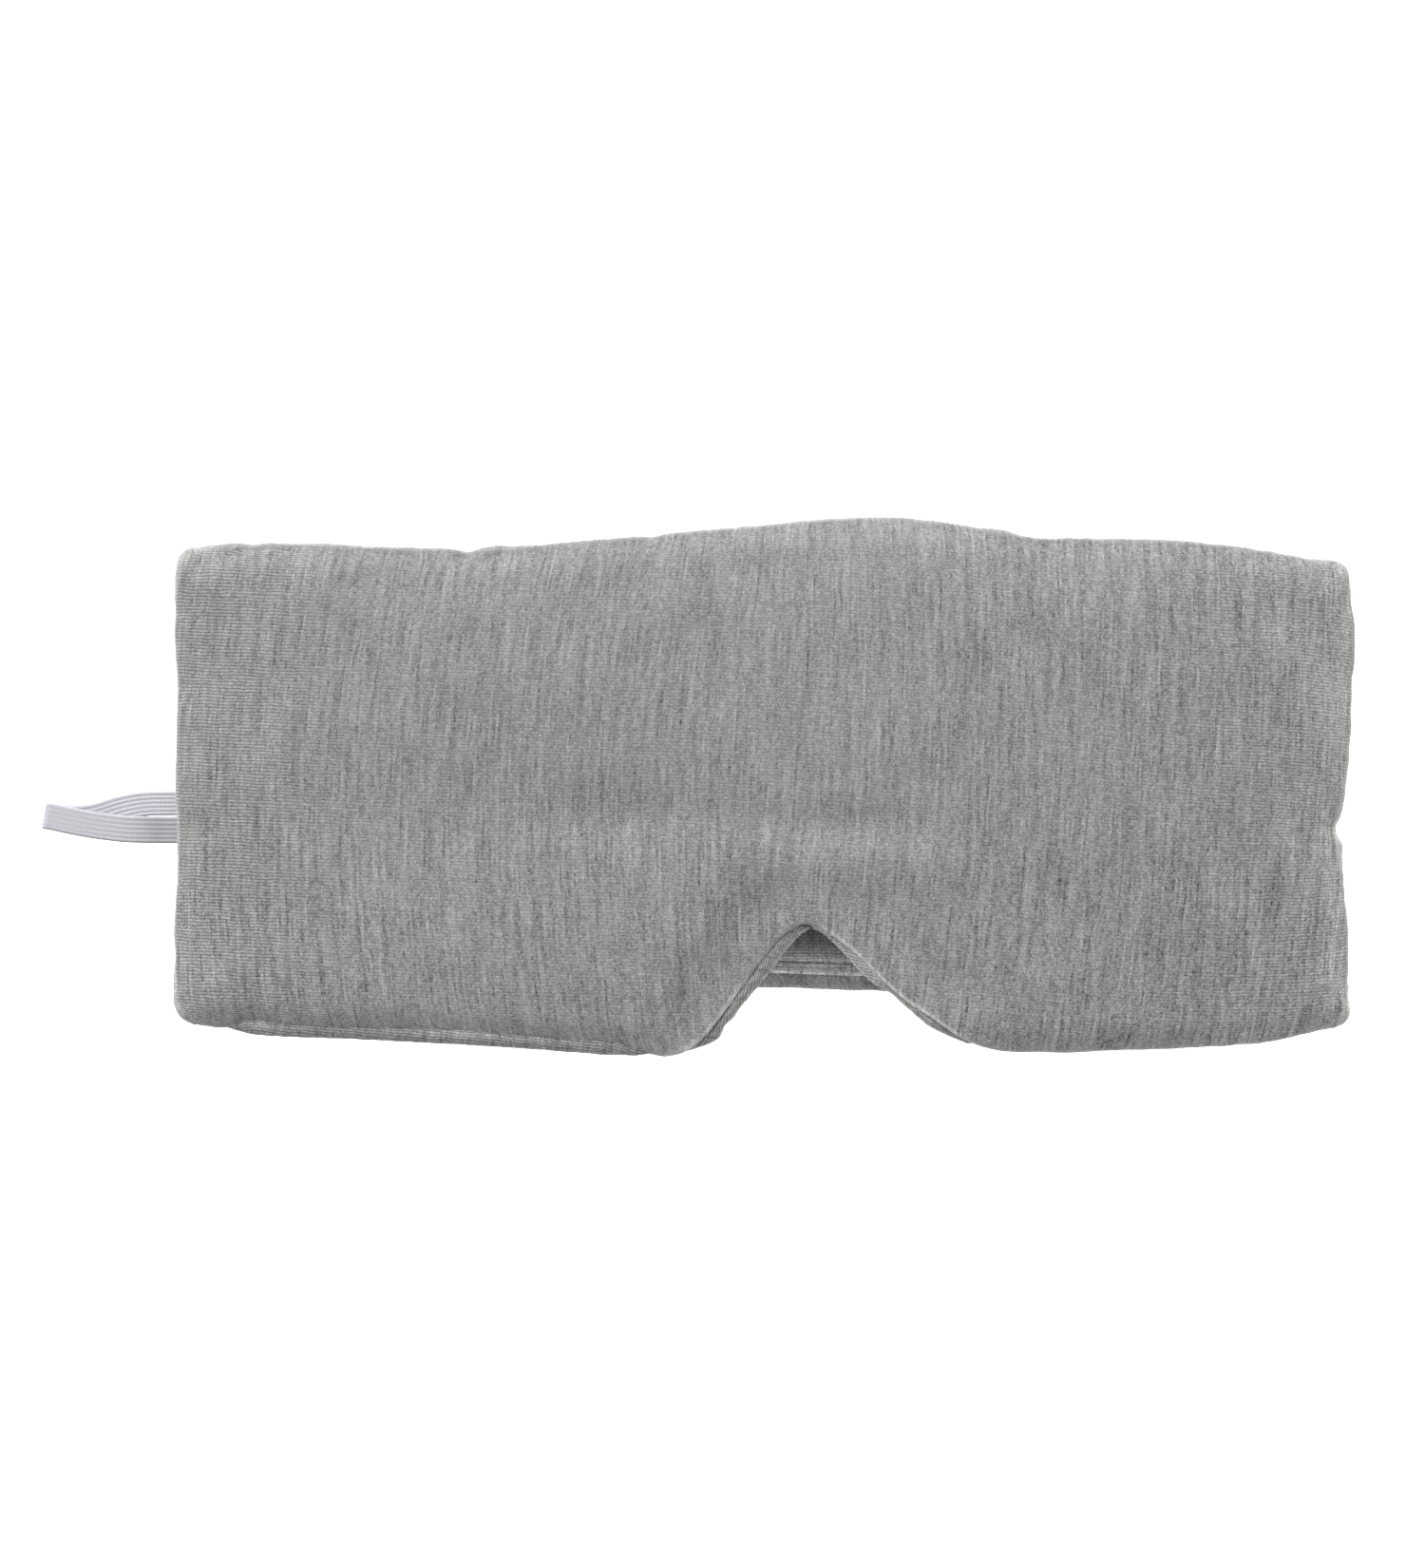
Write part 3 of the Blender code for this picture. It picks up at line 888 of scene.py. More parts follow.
def pad_edge(x, z):
    """How far inside the outline the pad's silhouette should lie."""
    notch_side = in_notch(x, z) * smoothstep(-2.5, -6.0, x) * smoothstep(-24.0, -19.0, z)
    aim = (0.10 - 0.55 * notch_side + 1.15 * lower_left(x, z)
           + 0.07 * wave(np.column_stack([x, z]), 9.0, 61.0))
    for push_x, push_z, out, radius in PUSHED:
        aim = aim - out * np.exp(-0.5 * ((x - push_x) ** 2 + (z - push_z) ** 2) / radius ** 2)
    return aim


def fitted(points):
    """Moves the pad's rim so that its silhouette follows pad_edge.

    Remeshing and smoothing draw corners in, and this lets them out again.
    """
    line = PAD_LINE
    for _ in range(2):
        inside, _, nearest = line.measure(flat(points))
        near = inside < 4.0
        least = np.full(len(line.points), 99.0)
        np.minimum.at(least, nearest[near], inside[near])
        for _ in range(3):
            least = np.minimum(least, np.minimum(np.roll(least, 1), np.roll(least, -1)))
        least = blurred(least, 2.0, 5)
        aim = pad_edge(*line.points.T)
        shift = np.clip(least - aim, -3.0, 3.0)[nearest] * (1 - smoothstep(1.0, 11.0, inside))
        points = points.copy()
        points[:, 0] -= line.inward[nearest, 0] * shift
        points[:, 2] -= line.inward[nearest, 1] * shift
    return points


def eased(obj, points, inside):
    """Depths without the dimples that sewing leaves at the corners and, less, at the edges."""
    ends = np.empty(len(obj.data.edges) * 2, np.int32)
    obj.data.edges.foreach_get("vertices", ends)
    start, end = ends.reshape(-1, 2).T
    total = len(points)
    count = np.bincount(start, minlength=total) + np.bincount(end, minlength=total)
    count = np.maximum(count, 1)
    x, y, z = points.T
    front = y < FRONT_MID_Y
    corner = np.zeros(total)
    for corner_x, corner_z, radius in EASED_CORNERS:
        reach = np.exp(-(np.hypot(x - corner_x, z - corner_z) / radius) ** 4)
        corner = np.maximum(corner, reach)
    border = 0.30 * smoothstep(26.0, 16.0, inside)
    weight = (np.maximum(corner, border) * smoothstep(0.5, 2.4, inside) * front
              * (1 - in_notch(x, z) * smoothstep(26.0, 16.0, inside)))
    # the plain edge's usual profile is kept, and only the departure from it is smoothed
    plain = front & (corner < 0.05) & (in_notch(x, z) < 0.05)
    stations = np.arange(0.25, 30.0, 0.5)
    profile = np.array([np.median(y[plain & (np.abs(inside - t) < 0.4)]) for t in stations])
    usual = np.interp(inside, stations, profile)
    rest = y - usual
    for _ in range(220):
        mean = (np.bincount(start, rest[end], total) + np.bincount(end, rest[start], total)) / count
        rest = rest + weight * (mean - rest)
    return np.where(weight > 0, rest + usual, y)


def fold_notch(points, inside):
    """Keeps the cover flat right up to a sharp fold beside the notch."""
    x, y, z = points.T
    face_y, radius = 0.45, 1.0
    weight = in_notch(x, z) * smoothstep(14.0, 5.0, inside) * (y < FRONT_MID_Y)
    to_centre = radius - np.clip(inside, 0, radius)
    sharp = face_y + radius - np.sqrt(np.maximum(radius * radius - to_centre ** 2, 0))
    folded = sharp + (FRONT_MID_Y - face_y - radius) * np.clip((y - 2.8) / 2.2, 0, 1) ** 1.5
    points[:, 1] += (folded - y) * weight


def ruffled(points, normal, inside, arc):
    """The pad with uneven wadding, dents, and jersey pulled in along its edge."""
    xz = flat(points)
    x, y, z = points.T
    facing = np.clip(-normal[:, 1], 0, 1)
    rear = np.clip(normal[:, 1], 0, 1)
    side = 1 - np.abs(normal[:, 1])
    calm = smoothstep(2, 14, inside)
    soft = wave(xz, 34.0, 3.0) * 0.42 + wave(xz, 13.0, 8.0) * 0.13
    step = -soft * calm - dent_field(x, z)
    pucker = (wave(np.column_stack([arc, y * 0.6]), 4.2, 5.0) * 0.07
              + wave(np.column_stack([arc, y * 0.4]), 9.0, 6.0) * 0.10)
    step += pucker * bell(inside, 0.5, 2.6)
    rear_step = wave(xz, 26.0, 12.0) * 0.35 * calm
    return points + normal * (step * np.clip(facing + side * 0.9, 0, 1)
                              + rear_step * rear)[:, None]


def pad_painted_light(points, normal, inside, nearest):
    # painted light: lighter where the cover turns right and turns down, along its rim and along the
    # fold beside the notch
    x, y, z = points.T
    above = np.clip(-PAD_LINE.inward[nearest, 1], 0, 1)
    right = np.minimum(1.5 * np.clip(normal[:, 0], 0, 1) * (x > 80), 0.65)
    under = 0.70 * np.clip(-normal[:, 2], 0, 1) * smoothstep(16.0, 6.0, inside) * (z < 10)
    turned = right + np.minimum(under, 0.45)
    # painted shade: slightly darker areas on the left and along the top
    dim = (0.07 * smoothstep(0.0, -50.0, x) * smoothstep(-5.0, 30.0, z)
           + 0.045 * smoothstep(38.0, 60.0, z) * smoothstep(30.0, -10.0, x))
    fold = (in_notch(x, z) * smoothstep(1.3, 0.3, inside)
            * (1.1 * smoothstep(1.0, 7.0, x) + 1.0 * smoothstep(-11.0, -17.0, x)))
    shown = smoothstep(FRONT_MID_Y + 2.5, FRONT_MID_Y, y)
    edge = smoothstep(1.3, 0.1, inside) * (0.42 - 0.27 * above)
    return (edge + np.minimum(turned, 0.62) + fold - dim) * shown


def build_pad():
    pad = slab("front_pad_cover", PAD, *PAD_Y, rounding=4.2)
    pad = inflate(pad, PAD_LINE, FRONT_MID_Y, cap=1.6, hold=1.4)
    pad = subdivided(pad, 2)
    points = fitted(coords(pad))
    points[:, 1] = eased(pad, points, PAD_LINE.inside(points))
    inside, arc, nearest = PAD_LINE.measure(flat(points))
    fold_notch(points, inside)
    set_coords(pad, points)
    points = ruffled(points, normals(pad), inside, arc)
    set_coords(pad, points)
    normal = normals(pad)
    set_knit(pad, front_knit(points, normal))
    set_painted_light(pad, pad_painted_light(points, normal, inside, nearest))
    dress(pad, JERSEY, "jersey", "mask_front", "front_cover")
    return surface(pad)


# ------------------------------------------------------------------ linings and topstitching
def stitches(name, line, tree, side, fallback, body, node, gap=0.35, dip=0.22, radius=0.2):
    """A row of separate stitches round a lining that dive into the cloth at each end."""
    path = line.inset(STITCH_IN, 0.25)
    closed = np.vstack([path, path[:1]])
    arc = arc_lengths(closed)
    count = int(arc[-1] / STITCH_PITCH)
    step = arc[-1] / count
    rise = np.array([-1.0, -0.25, 0.35, 0.5, 0.35, -0.25, -1.0]) * dip
    parts = []
    for k in range(count):
        stations = k * step + np.linspace(gap / 2, step - gap / 2, len(rise))
        xz = at_lengths(closed, arc, stations)
        y = depth_over(tree, xz, side, fallback) + 0.05 * side + side * rise
        parts.append(tube(np.column_stack([xz[:, 0], y, xz[:, 1]]), radius, 7))
    dress(joined(name, parts), THREAD, "thread", body, node)


def build_lining(pad_tree):
    def depth_at(xz):
        return depth_over(pad_tree, xz, REAR, PAD_Y[1]) + 0.15 + 0.075 * wave(xz, 30.0, 21.0)

    def shape(inside, arc):
        """The padded edge, the channel the stitches pull in, and the puckers between them."""
        groove = 0.55 * bell(inside, STITCH_IN, 0.55)
        beat = np.sin(2 * np.pi * arc / STITCH_PITCH)
        beside = bell(inside, STITCH_IN - 0.9, 0.6) + bell(inside, STITCH_IN + 1.0, 0.7)
        crown = 0.35 * smoothstep(0, 1.0, inside) * bell(inside, 1.1, 0.9)
        return -(groove - 0.16 * beat * beside - crown) + 0.4 * smoothstep(3, 14, inside)

    panel, line = sheet("eye_side_lining_panel", PAD_LINE, depth_at, shape, inset=3.6)
    points = coords(panel)
    set_knit(panel, plain_knit(points, normals(panel), PAD_Y[1]))
    # painted highlight along the lining's edge
    set_painted_light(panel, 0.35 * smoothstep(0.9, 0.1, line.inside(points)))
    dress(panel, LINING, "lining", "mask_front", "eye_side_lining")
    stitches("eye_side_stitches", line, surface(panel), REAR, 9.8,
             "mask_front", "eye_side_topstitch")


# ------------------------------------------------------------------ rolled strips
# Each row: inner x, inner z, outer x, outer z, near depth, far depth.
LEFT_NOTCH_ROWS = [
    (-1.6, -4.6, 0.4, -6.0, 4.4, 6.4),
    (-3.8, -4.3, -1.9, -7.4, 2.0, 7.4),
    (-6.8, -7.2, -4.9, -10.7, 1.2, 7.8),
    (-10.6, -11.8, -8.4, -15.4, 1.0, 8.2),
    (-13.6, -16.4, -10.6, -18.1, 0.95, 8.4),
    (-16.2, -19.8, -13.4, -21.4, 0.95, 8.4),
    (-17.0, -21.8, -14.8, -23.4, 1.0, 8.4),
    (-18.6, -24.0, -16.6, -25.3, 1.1, 8.4),
    (-20.4, -26.0, -18.0, -27.8, 1.3, 8.4),
    (-23.4, -27.9, -20.6, -29.0, 1.8, 8.2),
    (-27.5, -29.0, -24.6, -30.3, 2.8, 7.6),
]
RIGHT_NOTCH_ROWS = [
    (2.2, -4.6, 0.3, -6.0, 4.6, 6.2),
    (4.6, -5.4, 2.4, -7.0, 2.2, 7.4),
    (8.2, -8.2, 6.0, -10.3, 1.1, 8.0),
    (11.4, -11.4, 9.3, -14.0, 0.85, 8.4),
    (15.0, -14.6, 12.3, -16.8, 0.8, 8.4),
    (18.0, -17.6, 15.4, -18.5, 0.8, 8.4),
    (21.4, -21.0, 19.4, -22.0, 0.85, 8.4),
    (24.4, -23.6, 22.9, -24.9, 1.0, 8.4),
    (28.4, -26.0, 26.5, -26.9, 2.2, 8.0),
    (33.0, -28.2, 31.0, -28.7, 3.4, 7.4),
]


def strip(name, rows, material, slot, *nodes, grain_degrees, wobble, seed, lift):
    """A rolled strip of jersey lofted along an edge.

    It runs from under the cover at the inner points, over a soft fold, to the outer points and
    back.  lift is its painted light at the inner side, negative for painted shade, and the
    painted highlight that the outer side adds.
    """
    sides = 18
    path = catmull(rows, 10)
    inner, outer = path[:, :2], path[:, 2:4]
    run = arc_lengths(outer)
    verts, fabric, light = [], [], []
    for k, (near_y, far_y) in enumerate(path[:, 4:]):
        middle, half = (near_y + far_y) / 2, (far_y - near_y) / 2
        across = outer[k] - inner[k]
        width = np.linalg.norm(across)
        for j in range(sides):
            angle = math.pi * (-0.5 + 2.0 * j / sides)
            bulge = math.copysign(abs(math.cos(angle)) ** 0.75, math.cos(angle))
            reach = math.sin(angle) * 0.5 + 0.5
            shift = noise.noise((run[k] / 2.2, j * 0.45, seed)) * wobble * 2
            x, z = inner[k] + across * reach + across / width * shift
            verts.append((x, middle - half * bulge + shift * 0.6, z))
            # painted highlight rising over the outer fold, weaker on the far face
            rise = min(max((math.sin(angle) - 0.35) / 0.65, 0.0), 1.0)
            light.append(lift[0] + lift[1] * rise * (1.0 if math.cos(angle) > -0.3 else 0.3))
            fabric.append((run[k], 1.15 * width * reach))
    obj = new_mesh(name, verts, loft_faces(len(path), sides))
    turn_outward(obj)
    along, over = np.array(fabric).T
    cos, sin = math.cos(math.radians(grain_degrees)), math.sin(math.radians(grain_degrees))
    set_knit(obj, np.column_stack([along * cos + over * sin, -along * sin + over * cos,
                                   np.full(len(along), 1.0)]))
    set_painted_light(obj, light)
    dress(subdivided(obj, 1), material, slot, "mask_front", *nodes)


def build_strips():
    strip("left_notch_facing_roll", LEFT_NOTCH_ROWS, FACING, "lining", "left_notch_facing",
          grain_degrees=34.0, wobble=0.10, seed=2.0, lift=(-0.12, 0.85))
    strip("right_notch_facing_roll", RIGHT_NOTCH_ROWS, FACING, "lining", "right_notch_facing",
          grain_degrees=-34.0, wobble=0.07, seed=5.0, lift=(0.02, 1.0))
    # the strip that shows below the cover at the lower left
    low = PAD[(PAD[:, 1] < -15) & (PAD[:, 0] > -116.5) & (PAD[:, 0] < -25)]
    x, z = low[np.argsort(low[:, 0])][::14].T
    shown = lower_left(x, z)
    width = 1.2 + 2.2 * shown
    rows = np.column_stack([x, z + 0.2 + width, x, z + 0.9 * (1 - shown) + 0.10 - 0.50 * shown,
                            4.6 - 2.4 * shown, 6.4 + 2.2 * shown])
    strip("lower_edge_roll", rows, JERSEY, "jersey",
          grain_degrees=3.0, wobble=0.08, seed=9.0, lift=(0.20, 0.35))


# ------------------------------------------------------------------ back band
def near_notch(points):
    """1 at the nose notch's place across the mask, falling to 0 on each side."""
    return np.exp(-((points[:, 0] - NOSE_X) / 19.0) ** 4)


def build_band():
    middle_y = band_low[1] + 3.6
    band = slab("back_band_pad", BAND, band_low[1] + 0.5, band_high[1] - 0.3, rounding=2.9)
    band = inflate(band, BAND_LINE, middle_y, cap=1.5, hold=1.2)
    band = subdivided(band, 1)
    points, normal = coords(band), normals(band)
    xz = flat(points)
    inside, arc, _ = BAND_LINE.measure(xz)
    rear = np.clip(normal[:, 1], 0, 1)
    soft = wave(xz, 28.0, 31.0) * 0.45 + wave(xz, 11.0, 35.0) * 0.12
    pucker = wave(np.column_stack([arc, points[:, 1] * 0.6]), 4.0, 15.0) * 0.15
    step = rear * soft * smoothstep(2, 12, inside) + pucker * bell(inside, 0.5, 2.4)
    points = points + normal * step[:, None]
    set_coords(band, points)
    set_knit(band, plain_knit(points, normals(band), band_high[1]))
    inside = BAND_LINE.inside(points)
    # painted light on the band where it shows through the nose notch, and a painted highlight along
    # its whole rim
    by_notch = (near_notch(points) * (points[:, 2] < -10)
                * smoothstep(middle_y + 2.0, middle_y, points[:, 1]))
    set_painted_light(band, by_notch * 0.72 * smoothstep(5.0, 0.6, inside)
             + 0.20 * smoothstep(1.2, 0.1, inside))
    dress(band, JERSEY, "jersey", "back_band", "back_band_cover")
    return surface(band)


def build_band_lining(band_tree):
    def depth_at(xz):
        return depth_over(band_tree, xz, FRONT, band_low[1] + 0.6) - 0.10

    def shape(inside, arc):
        beat = np.sin(2 * np.pi * arc / STITCH_PITCH)
        gathers = 0.15 * beat * bell(inside, 3.0, 0.6)
        crown = (0.20 * smoothstep(0, 0.6, inside) * bell(inside, 1.0, 0.8)
                 + 0.33 * bell(inside, 0.50, 0.38) + 0.25 * bell(inside, 3.1, 0.6))
        groove = 0.41 * bell(inside, STITCH_IN, 0.55)
        return groove - gathers - crown - 0.3 * smoothstep(3, 12, inside)

    panel, line = sheet("back_band_lining_panel", BAND_LINE, depth_at, shape, inset=3.5)
    points = coords(panel)
    set_knit(panel, plain_knit(points, normals(panel), band_low[1], contrast=0.8))
    inside, arc, _ = line.measure(flat(points))
    # painted shadows between the stitches, a painted highlight along the edge, and painted light
    # over the cloth seen through the notch, which the studio light reaches less
    beat = 0.5 + 0.5 * np.sin(2 * np.pi * arc / STITCH_PITCH + 0.8 * np.sin(arc / 3.1))
    by_notch = near_notch(points) * smoothstep(-4.0, -9.0, points[:, 2])
    set_painted_light(panel, by_notch * (0.04 + 1.57 * smoothstep(5.2, 2.4, inside))
             + (0.25 + 1.05 * by_notch) * smoothstep(0.50, 0.1, inside)
             + 0.25 * by_notch * bell(inside, 2.9, 0.35) - 0.40 * beat * bell(inside, 2.5, 0.35))
    dress(panel, LINING, "lining", "back_band", "back_band_lining")
    stitches("back_band_stitches", line, surface(panel), FRONT, band_low[1],
             "back_band", "back_band_topstitch", gap=0.14, dip=0.12, radius=0.17)


# ------------------------------------------------------------------ elastic links
JOINTS = {joint["name"]: joint for joint in frame["joints"]}
CREASE_RADIUS = 0.62

# Strand paths as (x, y, z) from the seam: the front one runs out, the back one returns.
FRONT_STRAND = [
    (0.1, 0, 0), (-6, 0, 0), (-12, 0.1, -0.05), (-18, 0.45, -0.05), (-21, 0.55, -0.05),
    (-24, 0.15, 0), (-28, -0.05, 0.15), (-33, 0.15, 0.75), (-38, 0.3, 1.6),
]
BACK_STRAND = [
    (-41, -0.25, -2.9), (-38, -0.15, -3.0), (-34, -0.1, -2.55), (-29, 0, -1.0),
    (-24.5, 0, -0.15), (-20, 0, 0), (-12, 0, 0), (-5, 0, 0), (-0.1, 0, 0),
]


def ribbon(name, path, across, width, groove, light=None):
    """Braided elastic: a flat section with lengthwise cords, swept along a path.

    At each point across is the direction of its width, groove how deep the cords show, and
    light the painted light on it, negative where it is painted shade.
    """
    path = np.asarray(path, float)
    ahead = unit(np.gradient(path, axis=0))
    across = np.asarray(across, float)
    across = unit(across - ahead * np.sum(across * ahead, axis=1, keepdims=True))
    facing = np.cross(ahead, across)
    columns = CORDS * STEPS_PER_CORD
    place = np.arange(columns + 1) / columns
    place = np.concatenate([place, 1 - place])     # over one face, then back over the other
    face = np.repeat([1, -1], columns + 1)
    sides = len(place)
    width, groove = width[:, None], groove[:, None]
    bulge = np.abs(np.sin(math.pi * place * CORDS)) ** 0.6
    edge = np.minimum(place, 1 - place) * width
    roll = np.sqrt(np.maximum(0.0, 1 - (1 - np.minimum(edge / 0.35, 1)) ** 2))
    height = ELASTIC_THICK / 2 * roll * (1 - groove + groove * bulge)
    verts = (path[:, None] + (across * width)[:, None] * (place - 0.5)[None, :, None]
             + facing[:, None] * (face * height)[:, :, None])
    faces = loft_faces(len(path), sides, caps=False)
    for base, flip in ((0, False), ((len(path) - 1) * sides, True)):
        for j in range(columns):
            quad = (base + j, base + j + 1, base + sides - 2 - j, base + sides - 1 - j)
            faces.append(quad[::-1] if flip else quad)
    obj = new_mesh(name, verts.reshape(-1, 3), faces)
    run = arc_lengths(path)[:, None]
    fabric = np.broadcast_arrays(run, place * CORDS, 0.5 + groove * 4)
    set_knit(obj, np.stack(fabric, axis=-1))
    if light is not None:
        set_painted_light(obj, np.repeat(light, sides))
    turn_outward(obj, weld_m=1e-6)
    return obj


def build_tail(side, where, body, inner_side, seam_x, y, z):
    """The sewn-in end of an elastic, and the bartack over it: a dense zigzag of thread."""
    count = 18
    tail_node = f"{side}_elastic_{where}_tail"
    x = np.linspace(seam_x - 0.35, corners(tail_node)[1][0], count)
    ripple = 0.05 * np.sin(np.linspace(0, 9, count))
    tail = ribbon(f"{side}_{where}_tail_braid",
                  np.column_stack([x, y + ripple, np.full(count, z)]), [(0, 0, 1.0)] * count,
                  width=np.full(count, ELASTIC_WIDTH), groove=np.full(count, 0.22))
    dress(tail, ELASTIC, "elastic", body, tail_node)

    tack_node = f"{side}_{where}_bartack"
    low, high = corners(tack_node)
    turns = 22
    zigzag = []
    for k in range(turns + 1):
        proud = ELASTIC_THICK / 2 + 0.10 + 0.05 * math.sin(k * 1.9)
        swing = ELASTIC_WIDTH / 2 - 0.5 + 0.12 * math.sin(k * 2.7)
        zigzag.append((low[0] + 0.2 + (high[0] - low[0] - 0.4) * k / turns,
                       y + inner_side * proud, z + (1 if k % 2 else -1) * swing))
    bartack = joined(tack_node + "_zigzag", [tube(catmull(zigzag, 4), 0.15, 6)])
    dress(bartack, THREAD, "thread", body, tack_node)


def build_link(side):
    seam = np.array([v / MM for v in JOINTS[side + "_link_seam"]["pos_m"]])
    fold_x, fold_y, fold_z = (v / MM for v in JOINTS[side + "_link_crease"]["pos_m"])
    seam_x, front_y, front_z = seam
    tail_low, tail_high = corners(side + "_elastic_back_tail")
    _, back_y, back_z = (tail_low + tail_high) / 2

    # out along the front strand to the crease, round it, and back along the back strand
    crease_x, crease_z = fold_x + 1.0, fold_z - 0.15
    out = catmull([*(seam + FRONT_STRAND), (crease_x, fold_y - CREASE_RADIUS, crease_z)], 9)
    back = catmull([(crease_x, fold_y + CREASE_RADIUS, crease_z),
                    *(np.array([seam_x, back_y, back_z]) + BACK_STRAND)], 9)
    angles = math.pi * np.arange(1, 9) / 9
    turn = np.column_stack([crease_x - np.sin(angles) * (CREASE_RADIUS + 0.2),
                            fold_y - np.cos(angles) * CREASE_RADIUS,
                            np.full(len(angles), crease_z)])

    def along(strand, offsets, values):
        """Values set at the crease and at x offsets from the seam, read off along a strand."""
        return np.interp(strand[:, 0], [fold_x] + [seam_x + x for x in offsets], values)

    def whole(front, middle, rear):
        return np.concatenate([front, np.zeros(len(turn)) + middle, rear])

    lean = whole(along(out, (-38, -30, 0), (0.20, 0.16, 0.03, 0.0)), 0.20,
                 along(back, (-40, -34, -27, -20, 0), (0.20, 0.08, -0.28, -0.28, 0.0, 0.0)))
    groove = whole(along(out, (-38, -24, 0), (0.03, 0.05, 0.22, 0.34)), 0.03,
                   along(back, (-38, -30, 0), (0.05, 0.15, 0.26, 0.26)))
    # painted shade on the front strand towards the pad, and painted light on the back strand
    light = whole(along(out, (-27, -21, -16, -10, 0), (0.0, 0.0, -0.20, -0.08, -0.10, -0.22)),
                  0.0, along(back, (-36, -28, 0), (0.0, 0.02, 0.12, 0.14)))
    width = whole(np.full(len(out), 5.3), np.linspace(5.3, 5.1, len(turn)),
                  along(back, (-30, -22, 0), (5.1, 5.1, 4.85, 4.85)))
    across = np.column_stack([lean, np.zeros(len(lean)), np.ones(len(lean))])
    link = ribbon(side + "_elastic_link", np.vstack([out, turn, back]), across,
                  width=width, groove=groove, light=light)
    dress(link, ELASTIC, "elastic", None,
          side + "_elastic_front_strand", side + "_elastic_back_strand")
    fold_x * MM
    (fold_y - 0.45) * MM
    fold_z * MM
    fold_x * MM
    (fold_y + 0.45) * MM
    fold_z * MM
    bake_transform(link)
    build_tail(side, "front", "mask_front", REAR, seam_x, front_y, front_z)
    build_tail(side, "back", "back_band", FRONT, seam_x, back_y, back_z)


# ------------------------------------------------------------------ what the covers hold
def build_padding(node, line, body, tree):
    low, high = corners(node)
    batt = slab(node + "_batt", line.inset(2.4, OUTLINE_STEP), low[1] + 0.4, high[1] - 0.4,
                rounding=2.0)
    batt = remeshed(batt, voxel=2.4)
    points, normal = coords(batt), normals(batt)
    lumps = wave(flat(points) + points[:, [1, 1]] * 0.7, 6.0, 44.0, octaves=3)
    points = tucked(points + normal * (lumps * 0.45)[:, None], tree, gap=0.8)
    if node == "front_padding":
        # leaves room for the blackout sheet under the cover
        face = depth_over(tree, flat(points), FRONT, 4.0)
        points[:, 1] = np.maximum(points[:, 1], face + 1.7)
    set_coords(batt, points)
    dress(batt, WADDING, "wadding", body, node)


def build_blackout(pad_tree):
    def depth_at(xz):
        return depth_over(pad_tree, xz, FRONT, 2.0) + 1.0

    dark, _ = sheet("blackout_sheet", PAD_LINE, depth_at, inset=5.0, spacing=1.6, thick=0.35,
                    rings=(0.3, 1.0, 2.4), rim=0.2, grid=3.0)
    dress(dark, BLACKOUT, "blackout", "mask_front", "blackout_layer")


# ------------------------------------------------------------------ stage, light and camera
def stage_material():
    """Pale paper that the camera sees lit and glowing, and other rays see as a dull glow."""
    shader = Shader("pale_paper", (0.86, 0.86, 0.86), rough=0.9)
    shader.surface({"Specular IOR Level": 0.1})
    white = (1, 1, 1, 1)
    glow = shader.node("Emission", {"Color": white, "Strength": 0.95})
    lit = shader.node("AddShader", {0: Value(shader, shader.bsdf.outputs[0]), 1: glow})
    seen = shader.node("LightPath", {}, "Is Camera Ray")
    dull = shader.node("Emission", {"Color": white, "Strength": 0.43})
    mixed = shader.node("MixShader", {0: seen, 1: dull, 2: lit})
    shader.put(shader.tree.nodes["Material Output"].inputs["Surface"], mixed)
    return shader.material


def build_sweep():
    """A floor just under the mask that curves up into a backdrop."""
    floor_z = CAD_BOX[0][2] / MM - 0.4
    reach, bend_y, bend_radius, steps = 3200, 600, 700, 16
    profile = [(-reach, floor_z), (bend_y, floor_z)]
    for k in range(1, steps + 1):
        angle = math.pi / 2 * k / steps
        profile.append((bend_y + bend_radius * math.sin(angle),
                        floor_z + bend_radius * (1 - math.cos(angle))))
    profile.append((bend_y + bend_radius, floor_z + reach))
    verts = [(x, y, z) for x in (-reach, reach) for y, z in profile]
    count = len(profile)
    faces = [(k, k + 1, count + k + 1, count + k) for k in range(count - 1)]
    obj = new_mesh("studio_sweep", verts, faces)
    obj.data.materials.append(stage_material())


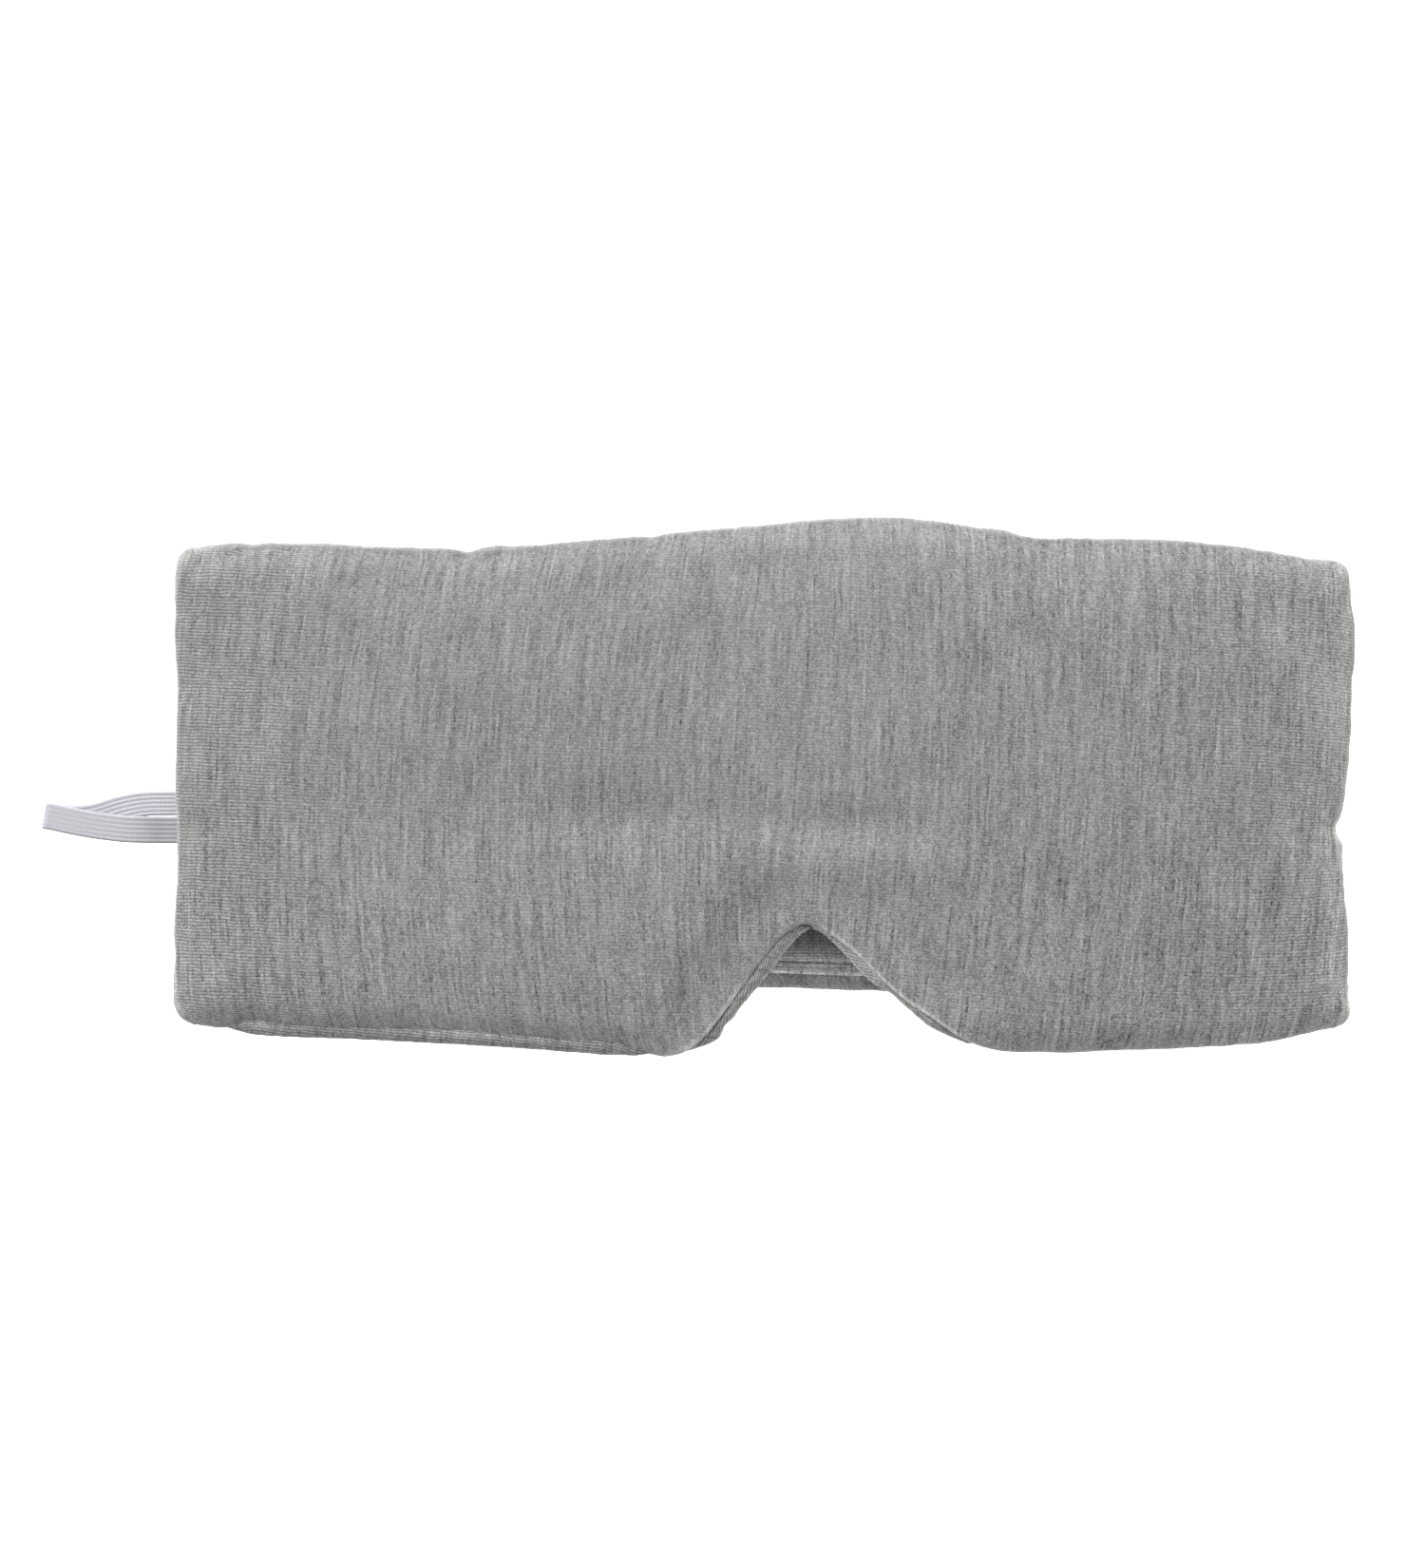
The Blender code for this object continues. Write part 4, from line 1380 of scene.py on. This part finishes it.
def build_world():
    """A white world, dimmer for the light it casts than to the camera."""
    world = bpy.data.worlds.new("studio")
    world.use_nodes = True
    nodes, links = world.node_tree.nodes, world.node_tree.links
    backdrop = nodes["Background"]
    backdrop.inputs[0].default_value = (1.0, 1.0, 1.0, 1)
    seen = nodes.new("ShaderNodeLightPath")
    level = nodes.new("ShaderNodeMapRange")
    level.inputs["To Min"].default_value = 0.50
    level.inputs["To Max"].default_value = 1.0
    links.new(seen.outputs["Is Camera Ray"], level.inputs["Value"])
    links.new(level.outputs[0], backdrop.inputs["Strength"])
    SCENE.world = world


# name, place, target and size in metres, power in watts
LIGHTS = [
    ("key", (-0.24, -0.26, 0.44), (-0.03, 0.0, 0.06), (0.55, 0.3), 3.7),
    ("fill", (0.9, -1.1, 0.35), (0.0, 0.0, 0.02), (0.9, 0.9), 1.1),
    ("left_edge", (-0.9, 0.45, 0.2), (-0.12, 0.0, 0.02), (0.8, 0.8), 4.2),
    ("right_edge", (0.9, 0.45, 0.2), (0.1, 0.0, 0.02), (0.8, 0.8), 6.0),
    ("rear", (0.1, 0.80, 0.50), (0.0, 0.0, 0.02), (0.7, 0.5), 4.0),
]


def build_lights():
    for name, place, target, size, power in LIGHTS:
        data = bpy.data.lights.new(name, "AREA")
        data.shape = "RECTANGLE"
        data.size, data.size_y = size
        data.energy = power
        obj = bpy.data.objects.new(name, data)
        obj.location = place
        aim = Vector(target) - Vector(place)
        obj.rotation_euler = aim.to_track_quat("-Z", "Y").to_euler()
        SCENE.collection.objects.link(obj)


def build_camera():
    """A camera in front of the mask, so far off that its sensor's width takes in view_span."""
    lens, sensor_width, view_span = 100.0, 36.0, 305.1
    data = bpy.data.cameras.new("camera")
    data.lens = lens
    data.sensor_width = sensor_width
    data.clip_end = 50
    camera = bpy.data.objects.new("camera", data)
    camera.location = (-0.01905, -view_span / sensor_width * lens * MM, 0.02219)
    camera.rotation_euler = (math.radians(90), 0, 0)
    SCENE.collection.objects.link(camera)
    SCENE.camera = camera
    SCENE.view_settings.view_transform = "Standard"


# ------------------------------------------------------------------ build
pad_tree = build_pad()
build_lining(pad_tree)
build_strips()
band_tree = build_band()
build_band_lining(band_tree)
build_link("left")
build_link("right")
build_padding("front_padding", PAD_LINE, "mask_front", pad_tree)
build_padding("back_band_padding", BAND_LINE, "back_band", band_tree)
build_blackout(pad_tree)
build_sweep()
build_world()
build_lights()
build_camera()
